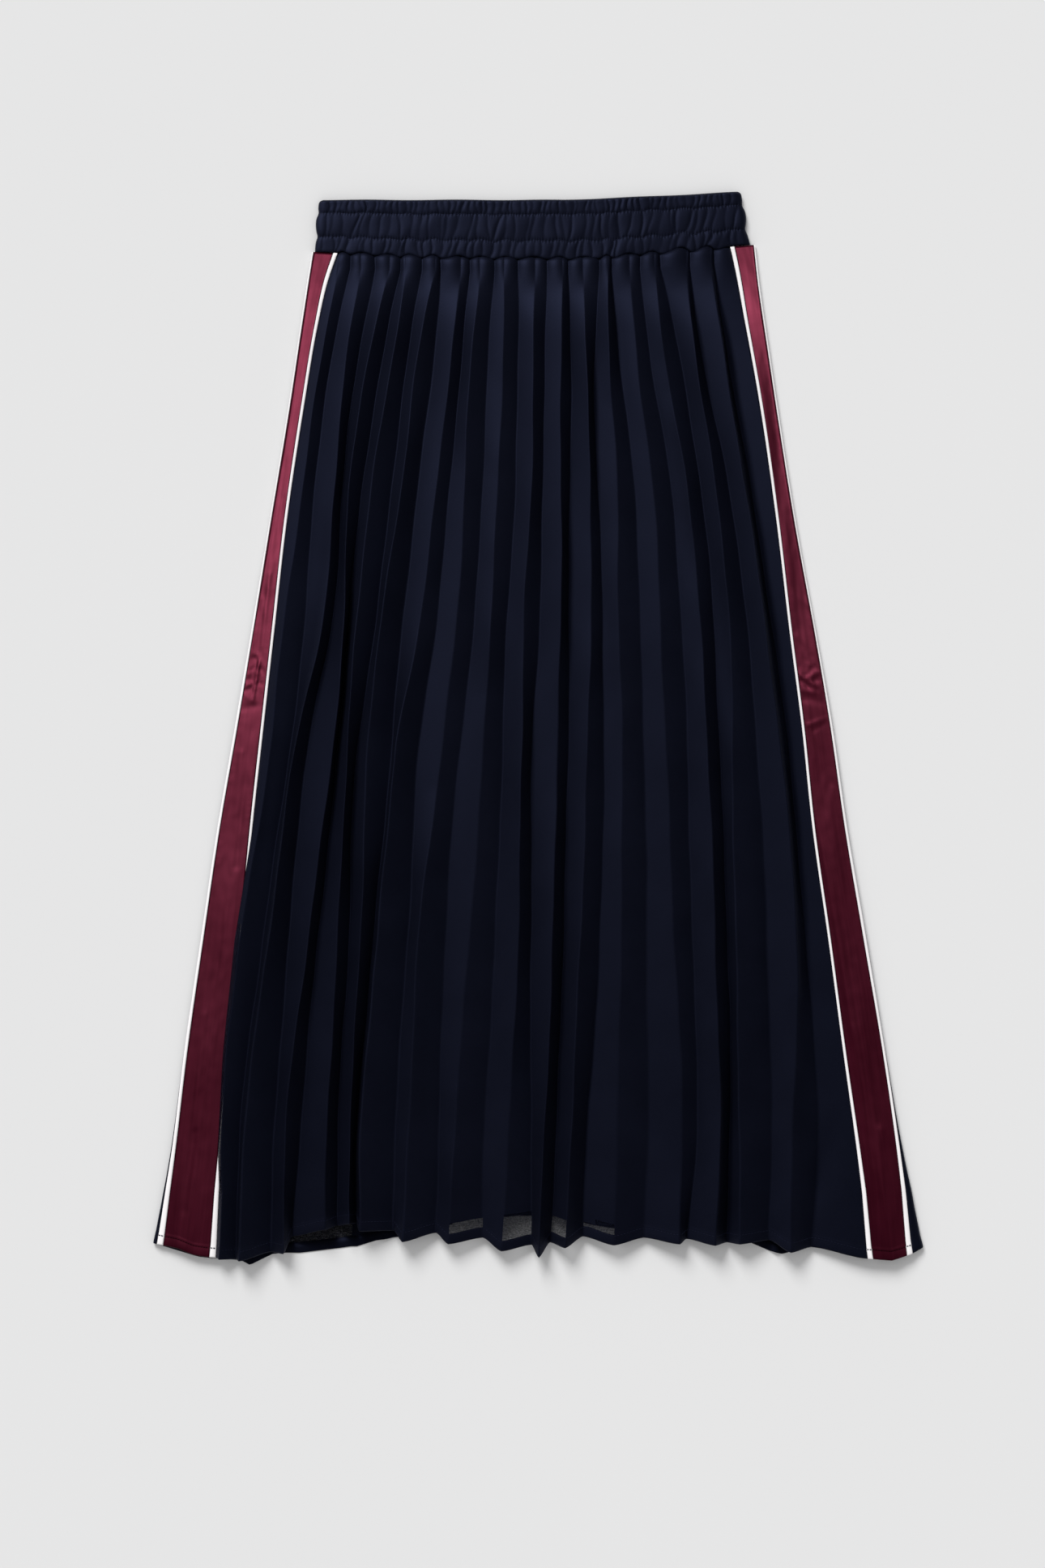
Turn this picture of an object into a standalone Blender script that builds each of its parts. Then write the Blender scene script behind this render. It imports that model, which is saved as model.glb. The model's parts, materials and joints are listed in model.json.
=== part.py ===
"""Pleated maxi skirt, laid flat on its back.

A gathered elastic waistband, a front and a back panel in accordion pleats, a satin stripe down each side,
and white piping on both seams of each stripe. Every piece is a wall of cloth, lofted through cross sections
from the waist seam down to the hem. X runs across the skirt, +Y to the waist, +Z up from the table.
Sizes are in millimetres, and the finished meshes in metres.
"""

import math
from collections import namedtuple

import bpy
import numpy as np

MM = 0.001
NAME = "pleated_maxi_skirt"

# Cloth
WALL = 1.2  # a cloth wall, with the air that its nap and slack take up
HEM_WALL = 1.8  # the wall where the hem is turned in
HEM_TURN = 9.0  # depth of the turned hem
HEM_STEP = 2.5  # length over which the wall thickens above it
GAP = 0.3  # between pieces at a seam, and between layers
PIPING_ROUND = 0.5  # how far piping stands proud of the cloth beside it

# Lengths down the skirt: a drop is the distance below this level, where the waist seam runs
SEAM_LEVEL = 398.8
DROPS = (0, 22, 60, 128, 223, 318, 400, 481, 577, 672, 753, 788)
HEM_DROP = 830
LEVEL_OUT = 60.0  # drop over which the sections go from the waist seam's curve to level

# The waist seam and the waistband's top edge, as heights across the skirt
SEAM_LINE = (
    (-189, 399.5), (-125, 396.0), (-71, 394.4), (24, 393.4),
    (55, 394.8), (96, 398.0), (137, 401.5), (182, 405.5),
)
TOP_LINE = ((-184, 443.0), (22, 443.0), (88, 445.7), (170, 449.8))

# The waistband's rows: how far down it each lies (0 to 1), its left and right ends, and how full its gathers
# are. The two rows with no fullness are the stitching through the elastic. The back half lies flatter on the
# table, and leaves some rows out.
BandRow = namedtuple("BandRow", "down left right fullness")
BAND_ROWS = (
    BandRow(0.00, -183.5, 169.8, 0.25),
    BandRow(0.07, -184.2, 170.4, 0.80),
    BandRow(0.16, -184.6, 171.0, 0.85),
    BandRow(0.25, -184.4, 171.0, 0.00),
    BandRow(0.36, -186.2, 173.4, 0.90),
    BandRow(0.48, -186.7, 174.4, 1.00),
    BandRow(0.60, -186.2, 174.2, 0.80),
    BandRow(0.70, -185.3, 173.6, 0.00),
    BandRow(0.80, -186.6, 175.4, 0.80),
    BandRow(0.91, -187.2, 176.8, 0.70),
    BandRow(1.00, -187.4, 177.8, 0.15),
)
BACK_ROWS_LEFT_OUT = (0.07, 0.36, 0.60, 0.80)
GATHERS = 45
GATHER_SWAY, CHANNEL_SWAY = 0.18, 0.5  # how uneven the gathers are, and how far they lean within a channel
GATHER_ENDS = 4  # points at each end over which that unevenness dies out
BAND_SPLIT = 3.2  # height of the back half's inner face; the front half's lies a gap above
BAND_BODY = 2.1  # the front half's thickness at its stitching
BAND_PUFF = 1.7  # how much more the fullest gather adds
BAND_GROOVE = 0.45  # the part of that puff left in the groove between two gathers
BAND_EDGE = 6.0  # width of the rounding at the waistband's two ends
BAND_END = 0.35  # the part of its thickness left at the very end
BAND_FLATTENED = 0.9  # how far the back half's stitching lies above the table

# The two sides of the skirt. All but the drop are millimetres: the outline and the front seam are measured
# from the centre line, the stripe and the pipings are their own widths, laid flat.
SideRow = namedtuple("SideRow", "drop outline seam stripe front_piping back_piping")
LEFT_SIDE = (
    SideRow(0, 189.0, 168.3, 21.0, 3.7, 2.6),
    SideRow(22, 192.8, 175.8, 19.5, 3.4, 2.6),
    SideRow(60, 198.6, 184.6, 19.0, 2.8, 2.6),
    SideRow(128, 208.8, 196.2, 19.0, 2.6, 2.6),
    SideRow(223, 224.4, 210.5, 19.0, 2.4, 2.6),
    SideRow(318, 240.4, 221.3, 19.8, 2.4, 2.6),
    SideRow(400, 254.7, 230.5, 22.5, 2.4, 2.8),
    SideRow(481, 268.6, 239.4, 26.0, 2.4, 3.0),
    SideRow(577, 283.2, 248.5, 29.5, 2.4, 3.0),
    SideRow(672, 297.5, 258.7, 32.6, 2.6, 3.2),
    SideRow(753, 308.4, 265.2, 35.5, 3.0, 3.8),
    SideRow(830, 323.0, 270.3, 38.0, 5.4, 4.4),
)
RIGHT_SIDE = (
    SideRow(0, 181.2, 160.8, 21.0, 3.7, 2.6),
    SideRow(22, 183.9, 165.9, 19.8, 3.4, 2.6),
    SideRow(60, 189.7, 173.4, 19.5, 2.8, 2.6),
    SideRow(128, 199.9, 185.6, 19.5, 2.6, 2.6),
    SideRow(223, 214.9, 199.2, 20.0, 2.4, 2.6),
    SideRow(318, 232.2, 210.5, 23.5, 2.2, 2.6),
    SideRow(400, 246.8, 221.0, 25.0, 2.2, 2.8),
    SideRow(481, 258.7, 229.5, 27.0, 2.2, 3.0),
    SideRow(577, 275.7, 243.1, 29.5, 2.2, 3.0),
    SideRow(672, 291.4, 255.7, 31.8, 2.4, 3.2),
    SideRow(753, 305.0, 266.9, 31.0, 3.0, 3.8),
    SideRow(830, 323.0, 276.1, 32.0, 4.4, 4.4),
)
EDGE_SLOPE = 22.0  # width over which a side rises from its rounded edge to the panel beside it
NOSE_DROPS = (0, 60, 320, 577, 830)
NOSE_RADII = (2.3, 2.75, 2.75, 2.4, 2.4)  # radius of the fold at a side's edge
BACK_MARGIN = 14.0  # flat strip of the back panel between a side's edge and its first pleat
PATH_TOP, PATH_NOSE, PATH_UNDER = 24, 18, 29  # steps of a side's path: over the top, round the edge, below
UNDER_REACH = 90.0  # how far in under the skirt the path runs
STRIPE_POINTS, PIPING_POINTS, BACK_EDGE_POINTS = 13, 4, 9  # points across a strip at each station

# The front panel's left edge: how far its first fold lies over the piping, and how high it is lifted there
COVER_DROPS = (0, 400, 481, 577, 672, 753, 788, 830)
COVER = (0, 0, 0, 6.5, 6.0, 3.8, 0, 0)
COVER_LIFT = (0, 0, 2.3, 2.3, 2.3, 2.3, 2.3, 0)

# The front panel's folds, a row each from left to right: the distance from the centre line at eight drops,
# and the drop at which the fold meets the hem. Crests stand up and valleys lie between them.
FOLD_DROPS = (12, 94, 196, 305, 417, 577, 740, 830)
Fold = namedtuple("Fold", "kind waist hip thigh knee calf shin low ankle hem_drop")
FRONT_FOLDS = (
    Fold("crest", -168, -183, -197, -213, -225, -250, -268, -268, 844),
    Fold("valley", -158, -174, -188, -195, -208, -231, -250, -254, 844),
    Fold("crest", -148, -162, -170, -180, -204, -226, -247, -250, 845),
    Fold("valley", -137, -152, -164, -172, -194, -209, -221, -224, 838),
    Fold("crest", -125, -143, -159, -162, -172, -193, -212, -214, 839),
    Fold("valley", -115, -132, -147, -159, -168, -185, -200, -206, 825),
    Fold("crest", -111, -123, -140, -152, -160, -168, -177, -179, 819),
    Fold("valley", -98, -110, -123, -135, -152, -159, -168, -169, 816),
    Fold("crest", -86, -103, -114, -132, -143, -149, -158, -158, 814),
    Fold("valley", -82, -88, -101, -113, -123, -138, -152, -153, 814),
    Fold("crest", -65, -73, -86, -98, -121, -136, -150, -150, 820),
    Fold("valley", -57, -65, -74, -85, -100, -109, -120, -121, 820),
    Fold("crest", -49, -57, -62, -68, -81, -101, -109, -114, 829),
    Fold("valley", -37, -42, -47, -53, -66, -78, -83, -86, 822),
    Fold("crest", -28, -30, -34, -40, -46, -58, -71, -75, 831),
    Fold("valley", -17, -17, -19, -26, -30, -36, -45, -47, 826),
    Fold("crest", -3, -4, -6, -12, -14, -17, -25, -31, 837),
    Fold("valley", 8, 5, 4, 1, -5, -6, -6, -5, 832),
    Fold("crest", 20, 19, 19, 19, 16, 12, 5, 0, 842),
    Fold("valley", 25, 28, 26, 26, 25, 21, 15, 10, 830),
    Fold("crest", 38, 40, 44, 44, 41, 35, 27, 23, 834),
    Fold("valley", 51, 47, 50, 54, 55, 52, 41, 37, 825),
    Fold("crest", 58, 60, 66, 67, 70, 69, 66, 63, 832),
    Fold("valley", 62, 68, 81, 85, 89, 91, 92, 89, 826),
    Fold("crest", 76, 83, 96, 102, 107, 114, 121, 118, 831),
    Fold("valley", 85, 95, 111, 120, 125, 129, 133, 124, 827),
    Fold("crest", 98, 106, 125, 135, 142, 148, 152, 149, 832),
    Fold("valley", 102, 120, 136, 147, 152, 159, 161, 158, 830),
    Fold("crest", 124, 133, 148, 160, 162, 165, 168, 168, 831),
    Fold("valley", 127, 138, 160, 174, 184, 192, 196, 194, 828),
    Fold("crest", 144, 157, 173, 189, 203, 217, 213, 211, 838),
    Fold("valley", 147, 160, 178, 195, 210, 224, 235, 229, 834),
)
FOLD_COLUMNS = slice(1, 9)
LEAST_SPACING = 2.5  # between two neighbouring folds
FACET_AT_WAIST = 14.0  # true width of the cloth between two folds
FACET_AT_HEM = 21.0
PLEAT_RELAX = 0.8  # how much of their full height the pleats keep when the skirt lies flat
LEAST_RISE = 5.0
MOST_RISE = 11.0
GATHERED_RISE = 0.3  # the part of that height left at the waist seam
RELEASE = 75.0  # drop over which the pleats open below the waist seam
FACET_CROWN = 0.05  # how far a facet bows out, as a part of its width
SHARPEST_FOLD = 0.7  # a fold's inner corner reaches no further than the wall over this
RIGHT_SEAM_RISE = 3.0  # how much higher the front panel's right edge lies than its valleys

# Heights of the layers
BACK_RISE_AT_WAIST = 1.2  # the back panel's inner folds above the table
BACK_RISE = 2.6
FRONT_BASE_AT_WAIST = 5.0  # the front panel's valleys
FRONT_BASE = 6.3
FRONT_BASE_AT_HEM = 7.9
HEM_LIFT_START, HEM_LIFT = 700.0, 110.0  # the drop where that last rise starts, and the length that it takes

# The back panel's pleats, and its hem as heights across the skirt
BACK_PLEATS = 17
STRIP_START, STRIP_END, INNER_FOLD = 0.12, 0.76, 0.94  # in parts of a pleat's pitch
STRIP_SWAY = 0.05
UPRIGHT_WALL = 1.15  # the wall at an inner fold, measured upright
FOLD_ROOM = 1.3  # and the height left for it under the layer above
BACK_HEM = (
    (-323, -432.1), (-285, -443.7), (-250, -446.4), (-242, -450.4), (-221, -440.3), (-200, -440.3),
    (-166, -436.2), (-125, -430.1), (-61, -413.8), (-17, -407.0), (24, -412.4), (49, -415.5),
    (76, -420.6), (119, -424.7), (178, -432.1), (206, -440.0), (229, -435.5), (269, -441.0),
    (303, -442.3), (323, -435.5),
)
# The hem of the sides, as heights from the seam out to the edge
LEFT_HEM = ((-323, -432.1), (-314, -433.8), (-302, -436.2), (-289, -441.7), (-278, -443.3), (-270, -443.8))
RIGHT_HEM = ((276, -444.6), (296, -446.2), (304, -443.9), (313, -441.0), (323, -435.5))

COLOURS = {
    "navy_crepe": (0.010, 0.012, 0.026),
    "burgundy_satin": (0.130, 0.012, 0.030),
    "white_piping": (0.750, 0.730, 0.720),
}


def eased(t):
    t = min(max(t, 0.0), 1.0)
    return t * t * (3 - 2 * t)


def blended(start, end, t):
    return start + (end - start) * eased(t)


def curve(places, values, at):
    """A smooth curve through a table's values, held level past its ends."""
    places = np.asarray(places, float)
    values = np.asarray(values, float)
    at = min(max(at, places[0]), places[-1])
    i = min(int(np.searchsorted(places, at, side="right")) - 1, len(places) - 2)
    slopes = np.gradient(values, places)
    step = places[i + 1] - places[i]
    t = (at - places[i]) / step
    start = (1 + 2 * t) * (1 - t) ** 2 * values[i] + t * (1 - t) ** 2 * step * slopes[i]
    end = t * t * (3 - 2 * t) * values[i + 1] + t * t * (t - 1) * step * slopes[i + 1]
    return start + end


def line(table, x):
    """A height across the skirt, read from a table of (x, y) corners."""
    return float(np.interp(x, [corner[0] for corner in table], [corner[1] for corner in table]))


def front_base(drop):
    upper = blended(FRONT_BASE_AT_WAIST, FRONT_BASE, drop / LEVEL_OUT)
    return upper + (FRONT_BASE_AT_HEM - FRONT_BASE) * eased((drop - HEM_LIFT_START) / HEM_LIFT)


def back_rise(drop):
    return blended(BACK_RISE_AT_WAIST, BACK_RISE, drop / LEVEL_OUT)


# Stations: the rows of sections that every piece below the waistband is lofted through


class Station:
    """One row of sections: at a drop, or at a distance above the hem."""

    def __init__(self, drop, above_hem=None, wall=WALL):
        self.drop = drop
        self.above_hem = above_hem
        self.wall = wall

    def height(self, x, hem):
        """The Y of a point at x, for a piece whose hem there lies at the height `hem`."""
        if self.above_hem is not None:
            return hem + self.above_hem
        seam = line(SEAM_LINE, x) - GAP - self.drop
        return blended(seam, SEAM_LEVEL - self.drop, self.drop / LEVEL_OUT)


STATIONS = [Station(drop) for drop in DROPS]
STATIONS.append(Station(HEM_DROP - HEM_TURN - HEM_STEP, HEM_TURN + HEM_STEP))
STATIONS.append(Station(HEM_DROP - HEM_TURN, HEM_TURN, HEM_WALL))
STATIONS.append(Station(HEM_DROP, 0.0, HEM_WALL))


# The path that the cloth takes round a side of the skirt


class SidePath:
    """The cloth's outer face round one side at one station.

    It is walked by the distance `s` from the front panel's seam, out to the edge, round it, and back in
    under the skirt. `u` is the distance in from the outline.
    """

    def __init__(self, sign, station):
        drop = station.drop
        rows = LEFT_SIDE if sign < 0 else RIGHT_SIDE
        drops = [row.drop for row in rows]
        self.sign = sign
        self.outline = curve(drops, [row.outline for row in rows], drop)
        self.seam = curve(drops, [row.seam for row in rows], drop)
        widths = (
            curve(drops, [row.front_piping for row in rows], drop),
            curve(drops, [row.stripe for row in rows], drop),
            curve(drops, [row.back_piping for row in rows], drop),
        )
        self.starts = [0.0]
        for width in widths:
            self.starts.append(self.starts[-1] + width + GAP)
        self.widths = widths
        radius = float(np.interp(drop, NOSE_DROPS, NOSE_RADII))
        top = front_base(drop) + (RIGHT_SEAM_RISE * eased(drop / 120) if sign > 0 else 0.0)
        run = self.outline - self.seam
        slope = min(EDGE_SLOPE, 0.8 * run)
        self.u_top = np.linspace(run, radius, PATH_TOP + 1)
        self.z_top = np.array([blended(2 * radius, top, (u - radius) / slope) for u in self.u_top])
        turn = np.radians(np.linspace(90, 270, PATH_NOSE + 1))[1:]
        u_under = np.linspace(radius, UNDER_REACH, PATH_UNDER + 1)[1:]
        self.u = np.concatenate([self.u_top, radius + radius * np.cos(turn), u_under])
        self.z = np.concatenate([self.z_top, radius + radius * np.sin(turn), np.zeros(PATH_UNDER)])
        steps = np.hypot(np.diff(self.u), np.diff(self.z))
        self.s = np.concatenate([[0.0], np.cumsum(steps)])
        self.edge = float(self.s[PATH_TOP + PATH_NOSE // 2])
        self.margin = float(np.interp(BACK_MARGIN, self.u[-PATH_UNDER:], self.s[-PATH_UNDER:]))

    def at(self, s, proud=0.0):
        """The point (x, z) at a distance along the path, moved out by `proud`, and whether it faces up."""
        u = float(np.interp(s, self.s, self.u))
        z = float(np.interp(s, self.s, self.z))
        across = float(np.interp(s, self.s, np.gradient(self.z, self.s)))
        along = float(np.interp(s, self.s, np.gradient(self.u, self.s)))
        length = math.hypot(across, along)
        u += proud * across / length
        z -= proud * along / length
        return self.sign * (self.outline - u), max(z, 0.0), s < self.edge

    def top_height(self, u):
        """The height of the top layer's outer face, at a distance in from the outline."""
        return float(np.interp(u, self.u_top[::-1], self.z_top[::-1]))


def side_hem(x, faces_up):
    if faces_up:
        return line(LEFT_HEM if x < 0 else RIGHT_HEM, x)
    return line(BACK_HEM, x)


def side_row(path, station, start, width, count, proud=0.0):
    """A row of matching outer and inner points across a strip of the side's path."""
    outer = []
    inner = []
    for i in range(count):
        t = i / (count - 1)
        crown = proud * (1 - (2 * t - 1) ** 2)
        x, z, up = path.at(start + width * t, crown)
        x_in, z_in, _ = path.at(start + width * t, -station.wall)
        y = station.height(x, side_hem(x, up))
        outer.append((x, y, z))
        inner.append((x_in, y, z_in))
    return outer, inner


# Making a solid from rows of points


def add_object(name, vertices, faces, colour):
    mesh = bpy.data.meshes.new(name)
    mesh.from_pydata([[c * MM for c in vertex] for vertex in vertices], [], faces)
    mesh.update()
    mesh.materials.append(bpy.data.materials[colour])
    piece = bpy.data.objects.new(name, mesh)
    bpy.data.collections[NAME].objects.link(piece)
    return piece


def cloth_wall(name, rows, colour, reversed_faces=False):
    """A closed wall lofted through rows of (outer points, inner points)."""
    count = len(rows[0][0])
    vertices = []
    for outer, inner in rows:
        vertices += list(outer) + list(inner)[::-1]
    ring = 2 * count
    faces = []
    for r in range(len(rows) - 1):
        for i in range(ring):
            j = (i + 1) % ring
            a, b, c, d = r * ring + i, r * ring + j, (r + 1) * ring + j, (r + 1) * ring + i
            # the two long edges of the cloth are cut from inner to outer, so that neighbours stay parallel
            if i == count - 1:
                faces += [(a, b, d), (b, c, d)]
            elif i == ring - 1:
                faces += [(a, b, c), (a, c, d)]
            else:
                faces.append((a, b, c, d))
    last = (len(rows) - 1) * ring
    for i in range(count - 1):
        faces.append((i, ring - 1 - i, ring - 2 - i, i + 1))
        faces.append((last + i, last + i + 1, last + ring - 2 - i, last + ring - 1 - i))
    if reversed_faces:
        faces = [face[::-1] for face in faces]
    return add_object(name, vertices, faces, colour)


def under_points(points, wall):
    """The inner points of a panel's section: each outer (x, z) moved down square to the cloth."""
    points = np.asarray(points, float)
    steps = np.diff(points, axis=0)
    steps /= np.linalg.norm(steps, axis=1)[:, None]
    down = np.column_stack([steps[:, 1], -steps[:, 0]])
    inner = []
    for i in range(len(points)):
        before = down[max(i - 1, 0)]
        after = down[min(i, len(down) - 1)]
        middle = before + after
        middle /= np.linalg.norm(middle)
        reach = wall / max(float(middle @ before), SHARPEST_FOLD)
        inner.append(points[i] + middle * reach)
    inner[0] = points[0] - (0.0, wall)
    inner[-1] = points[-1] - (0.0, wall)
    return np.array(inner)


# The pieces


def fold_places(station):
    """Where the front panel's folds cross a station, kept apart from each other and from its edges."""
    drop = station.drop
    left = SidePath(-1, station)
    right = SidePath(1, station)
    first = -left.seam + GAP - float(np.interp(drop, COVER_DROPS, COVER))
    last = right.seam - GAP
    places = [curve(FOLD_DROPS, fold[FOLD_COLUMNS], drop) for fold in FRONT_FOLDS]
    for i in range(len(places)):
        places[i] = max(places[i], (places[i - 1] if i else first) + LEAST_SPACING)
    for i in reversed(range(len(places))):
        after = places[i + 1] if i + 1 < len(places) else last
        places[i] = min(places[i], after - LEAST_SPACING)
    left_height = left.z[0] + float(np.interp(drop, COVER_DROPS, COVER_LIFT))
    return first, last, places, left_height, right.z[0]


def crest_rise(width, drop):
    """How high a pleat stands, from the room it has between its valleys."""
    facet = blended(FACET_AT_WAIST, FACET_AT_HEM, drop / HEM_DROP)
    full = math.sqrt(max(facet**2 - (width / 2) ** 2, 0.0))
    rise = min(max(PLEAT_RELAX * full, LEAST_RISE), MOST_RISE)
    return rise * blended(GATHERED_RISE, 1.0, drop / RELEASE)


def front_panel():
    rows = []
    hems = [SEAM_LEVEL - fold.hem_drop for fold in FRONT_FOLDS]
    hems = [LEFT_HEM[-1][1]] + hems + [RIGHT_HEM[0][1]]
    for station in STATIONS:
        first, last, places, left_height, right_height = fold_places(station)
        base = front_base(station.drop)
        corners = [(first, left_height)]
        for i, fold in enumerate(FRONT_FOLDS):
            before = places[i - 1] if i else first
            after = places[i + 1] if i + 1 < len(places) else last
            rise = crest_rise(after - before, station.drop) if fold.kind == "crest" else 0.0
            corners.append((places[i], base + rise))
        corners.append((last, right_height))
        section = [corners[0]]
        section_hems = [hems[0]]
        for i in range(1, len(corners)):
            (x0, z0), (x1, z1) = corners[i - 1], corners[i]
            crown = FACET_CROWN * math.hypot(x1 - x0, z1 - z0)
            section += [((x0 + x1) / 2, (z0 + z1) / 2 + crown), (x1, z1)]
            section_hems += [(hems[i - 1] + hems[i]) / 2, hems[i]]
        inner = under_points(section, station.wall)
        ys = [station.height(point[0], hem) for point, hem in zip(section, section_hems)]
        rows.append(
            (
                [(x, y, z) for (x, z), y in zip(section, ys)],
                [(x, y, z) for (x, z), y in zip(inner, ys)],
            )
        )
    return cloth_wall("front_panel", rows, "navy_crepe", reversed_faces=True)


def back_panel():
    """Its outer face lies on the table: flat strips, with the folds between them standing up inside."""
    rows = []
    for station in STATIONS:
        left = SidePath(-1, station)
        right = SidePath(1, station)
        outer, inner = back_edge(left, station)
        start = -(left.outline - BACK_MARGIN)
        pitch = (right.outline - BACK_MARGIN - start) / BACK_PLEATS
        turned = station.wall - WALL
        for i in range(BACK_PLEATS):
            sway = STRIP_SWAY * math.sin(2.3 * i + 0.004 * station.drop)
            strip = [(start + pitch * (i + part + sway), 0.0) for part in (STRIP_START, STRIP_END)]
            for x, z in strip:
                y = station.height(x, line(BACK_HEM, x))
                outer.append((x, y, z))
                inner.append((x, y, z + station.wall))
            if i == BACK_PLEATS - 1:
                break
            x = start + pitch * (i + INNER_FOLD + sway)
            path = left if x < 0 else right
            room = path.top_height(path.outline - abs(x)) - WALL - turned - GAP
            rise = min(back_rise(station.drop), room - FOLD_ROOM * station.wall)
            y = station.height(x, line(BACK_HEM, x))
            outer.append((x, y, rise))
            inner.append((x, y, rise + UPRIGHT_WALL * station.wall))
        right_outer, right_inner = back_edge(right, station)
        outer += right_outer[::-1]
        inner += right_inner[::-1]
        rows.append((outer, inner))
    return cloth_wall("back_panel", rows, "navy_crepe")


def back_edge(path, station):
    start = path.starts[3]
    return side_row(path, station, start, path.margin - start, BACK_EDGE_POINTS)


def side_piece(name, sign, part, count, colour, proud=0.0):
    rows = []
    for station in STATIONS:
        path = SidePath(sign, station)
        rows.append(side_row(path, station, path.starts[part], path.widths[part], count, proud))
    return cloth_wall(name, rows, colour, reversed_faces=sign > 0)


def waistband(name, front):
    """Half of the waistband: gathered channels outside, and plain inside where the two halves meet."""
    columns = 2 * GATHERS + 1
    inside = BAND_SPLIT + GAP if front else BAND_SPLIT
    outer_rows = []
    band_rows = [row for row in BAND_ROWS if front or row.down not in BACK_ROWS_LEFT_OUT]
    for row in band_rows:
        points = []
        for i in range(columns):
            settled = min(i / GATHER_ENDS, (columns - 1 - i) / GATHER_ENDS, 1.0)
            lean = CHANNEL_SWAY * row.fullness * math.sin(0.37 * i)
            sway = settled * (GATHER_SWAY * math.sin(1.9 * i) + lean)
            part = (i + sway) / (columns - 1)
            x = row.left + (row.right - row.left) * part
            y = line(TOP_LINE, x) + (line(SEAM_LINE, x) - line(TOP_LINE, x)) * row.down
            from_end = max(min(x - row.left, row.right - x), 0.0)
            body = max(math.sqrt(min(from_end / BAND_EDGE, 1.0)), BAND_END)
            ridge = 1.0 if i % 2 else BAND_GROOVE
            puff = row.fullness * ridge * (0.8 + 0.2 * math.sin(2.9 * i))
            if front:
                z = inside + body * (BAND_BODY + BAND_PUFF * puff)
            else:
                lifted = max(0.0, BAND_FLATTENED - BAND_PUFF * puff)
                z = inside - body * (inside - lifted)
            points.append((x, y, z))
        outer_rows.append(points)
    vertices = [point for points in outer_rows for point in points]
    faces = []
    for r in range(len(band_rows) - 1):
        for i in range(columns - 1):
            a = r * columns + i
            faces.append((a, a + 1, a + columns + 1, a + columns))
    top_inside = len(vertices)
    vertices += [(x, y, inside) for x, y, _ in outer_rows[0]]
    seam_inside = len(vertices)
    vertices += [(x, y, inside) for x, y, _ in outer_rows[-1]]
    last = (len(band_rows) - 1) * columns
    for i in range(columns - 1):
        faces.append((i + 1, i, top_inside + i, top_inside + i + 1))
        faces.append((last + i, last + i + 1, seam_inside + i + 1, seam_inside + i))
        faces.append((top_inside + i + 1, top_inside + i, seam_inside + i, seam_inside + i + 1))
    end = columns - 1
    left_end = [r * columns for r in range(len(band_rows))]
    right_end = [r * columns + end for r in range(len(band_rows))]
    faces.append(tuple(left_end + [seam_inside, top_inside]))
    faces.append(tuple([top_inside + end, seam_inside + end] + right_end[::-1]))
    # with the rows running down the skirt these faces point down, which suits the back half
    if front:
        faces = [face[::-1] for face in faces]
    return add_object(name, vertices, faces, "navy_crepe")


def add_material(name, colour, roughness):
    material = bpy.data.materials.new(name)
    material.use_nodes = True
    shader = material.node_tree.nodes["Principled BSDF"]
    shader.inputs["Base Color"].default_value = (*colour, 1.0)
    shader.inputs["Roughness"].default_value = roughness
    shader.inputs["Metallic"].default_value = 0.0
    material.diffuse_color = (*colour, 1.0)


def clear_scene():
    for piece in list(bpy.data.objects):
        bpy.data.objects.remove(piece, do_unlink=True)


def centre_on_origin(pieces):
    """Moves the meshes so that the middle of the skirt's box stands over the origin."""
    points = np.array([vertex.co for piece in pieces for vertex in piece.data.vertices])
    middle = (points.min(axis=0) + points.max(axis=0)) / 2
    for piece in pieces:
        for vertex in piece.data.vertices:
            vertex.co.x -= middle[0]
            vertex.co.y -= middle[1]


def build_skirt():
    clear_scene()
    collection = bpy.data.collections.new(NAME)
    bpy.context.scene.collection.children.link(collection)
    add_material("navy_crepe", COLOURS["navy_crepe"], 0.85)
    add_material("burgundy_satin", COLOURS["burgundy_satin"], 0.35)
    add_material("white_piping", COLOURS["white_piping"], 0.6)
    pieces = [
        waistband("waistband_front", True),
        waistband("waistband_back", False),
        front_panel(),
        back_panel(),
    ]
    for side, sign in (("left", -1), ("right", 1)):
        piping = (PIPING_POINTS, "white_piping", PIPING_ROUND)
        pieces.append(side_piece(f"piping_{side}_front", sign, 0, *piping))
        pieces.append(side_piece(f"stripe_{side}", sign, 1, STRIPE_POINTS, "burgundy_satin"))
        pieces.append(side_piece(f"piping_{side}_back", sign, 2, *piping))
    centre_on_origin(pieces)


build_skirt()
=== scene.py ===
"""Pleated maxi skirt laid flat: the cloth, seams and finishes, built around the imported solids.

Each piece of cloth is a grid that is moved onto the garment's form, with a thin wall. The form is read
down the skirt: a "drop" is the distance below the waist seam. Tables are in millimetres, meshes in metres.
"""

import json
import math
from collections import namedtuple

import bmesh
import bpy
import numpy as np
from bpy.props import FloatProperty, FloatVectorProperty, PointerProperty
from mathutils import Matrix, Vector, noise

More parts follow.
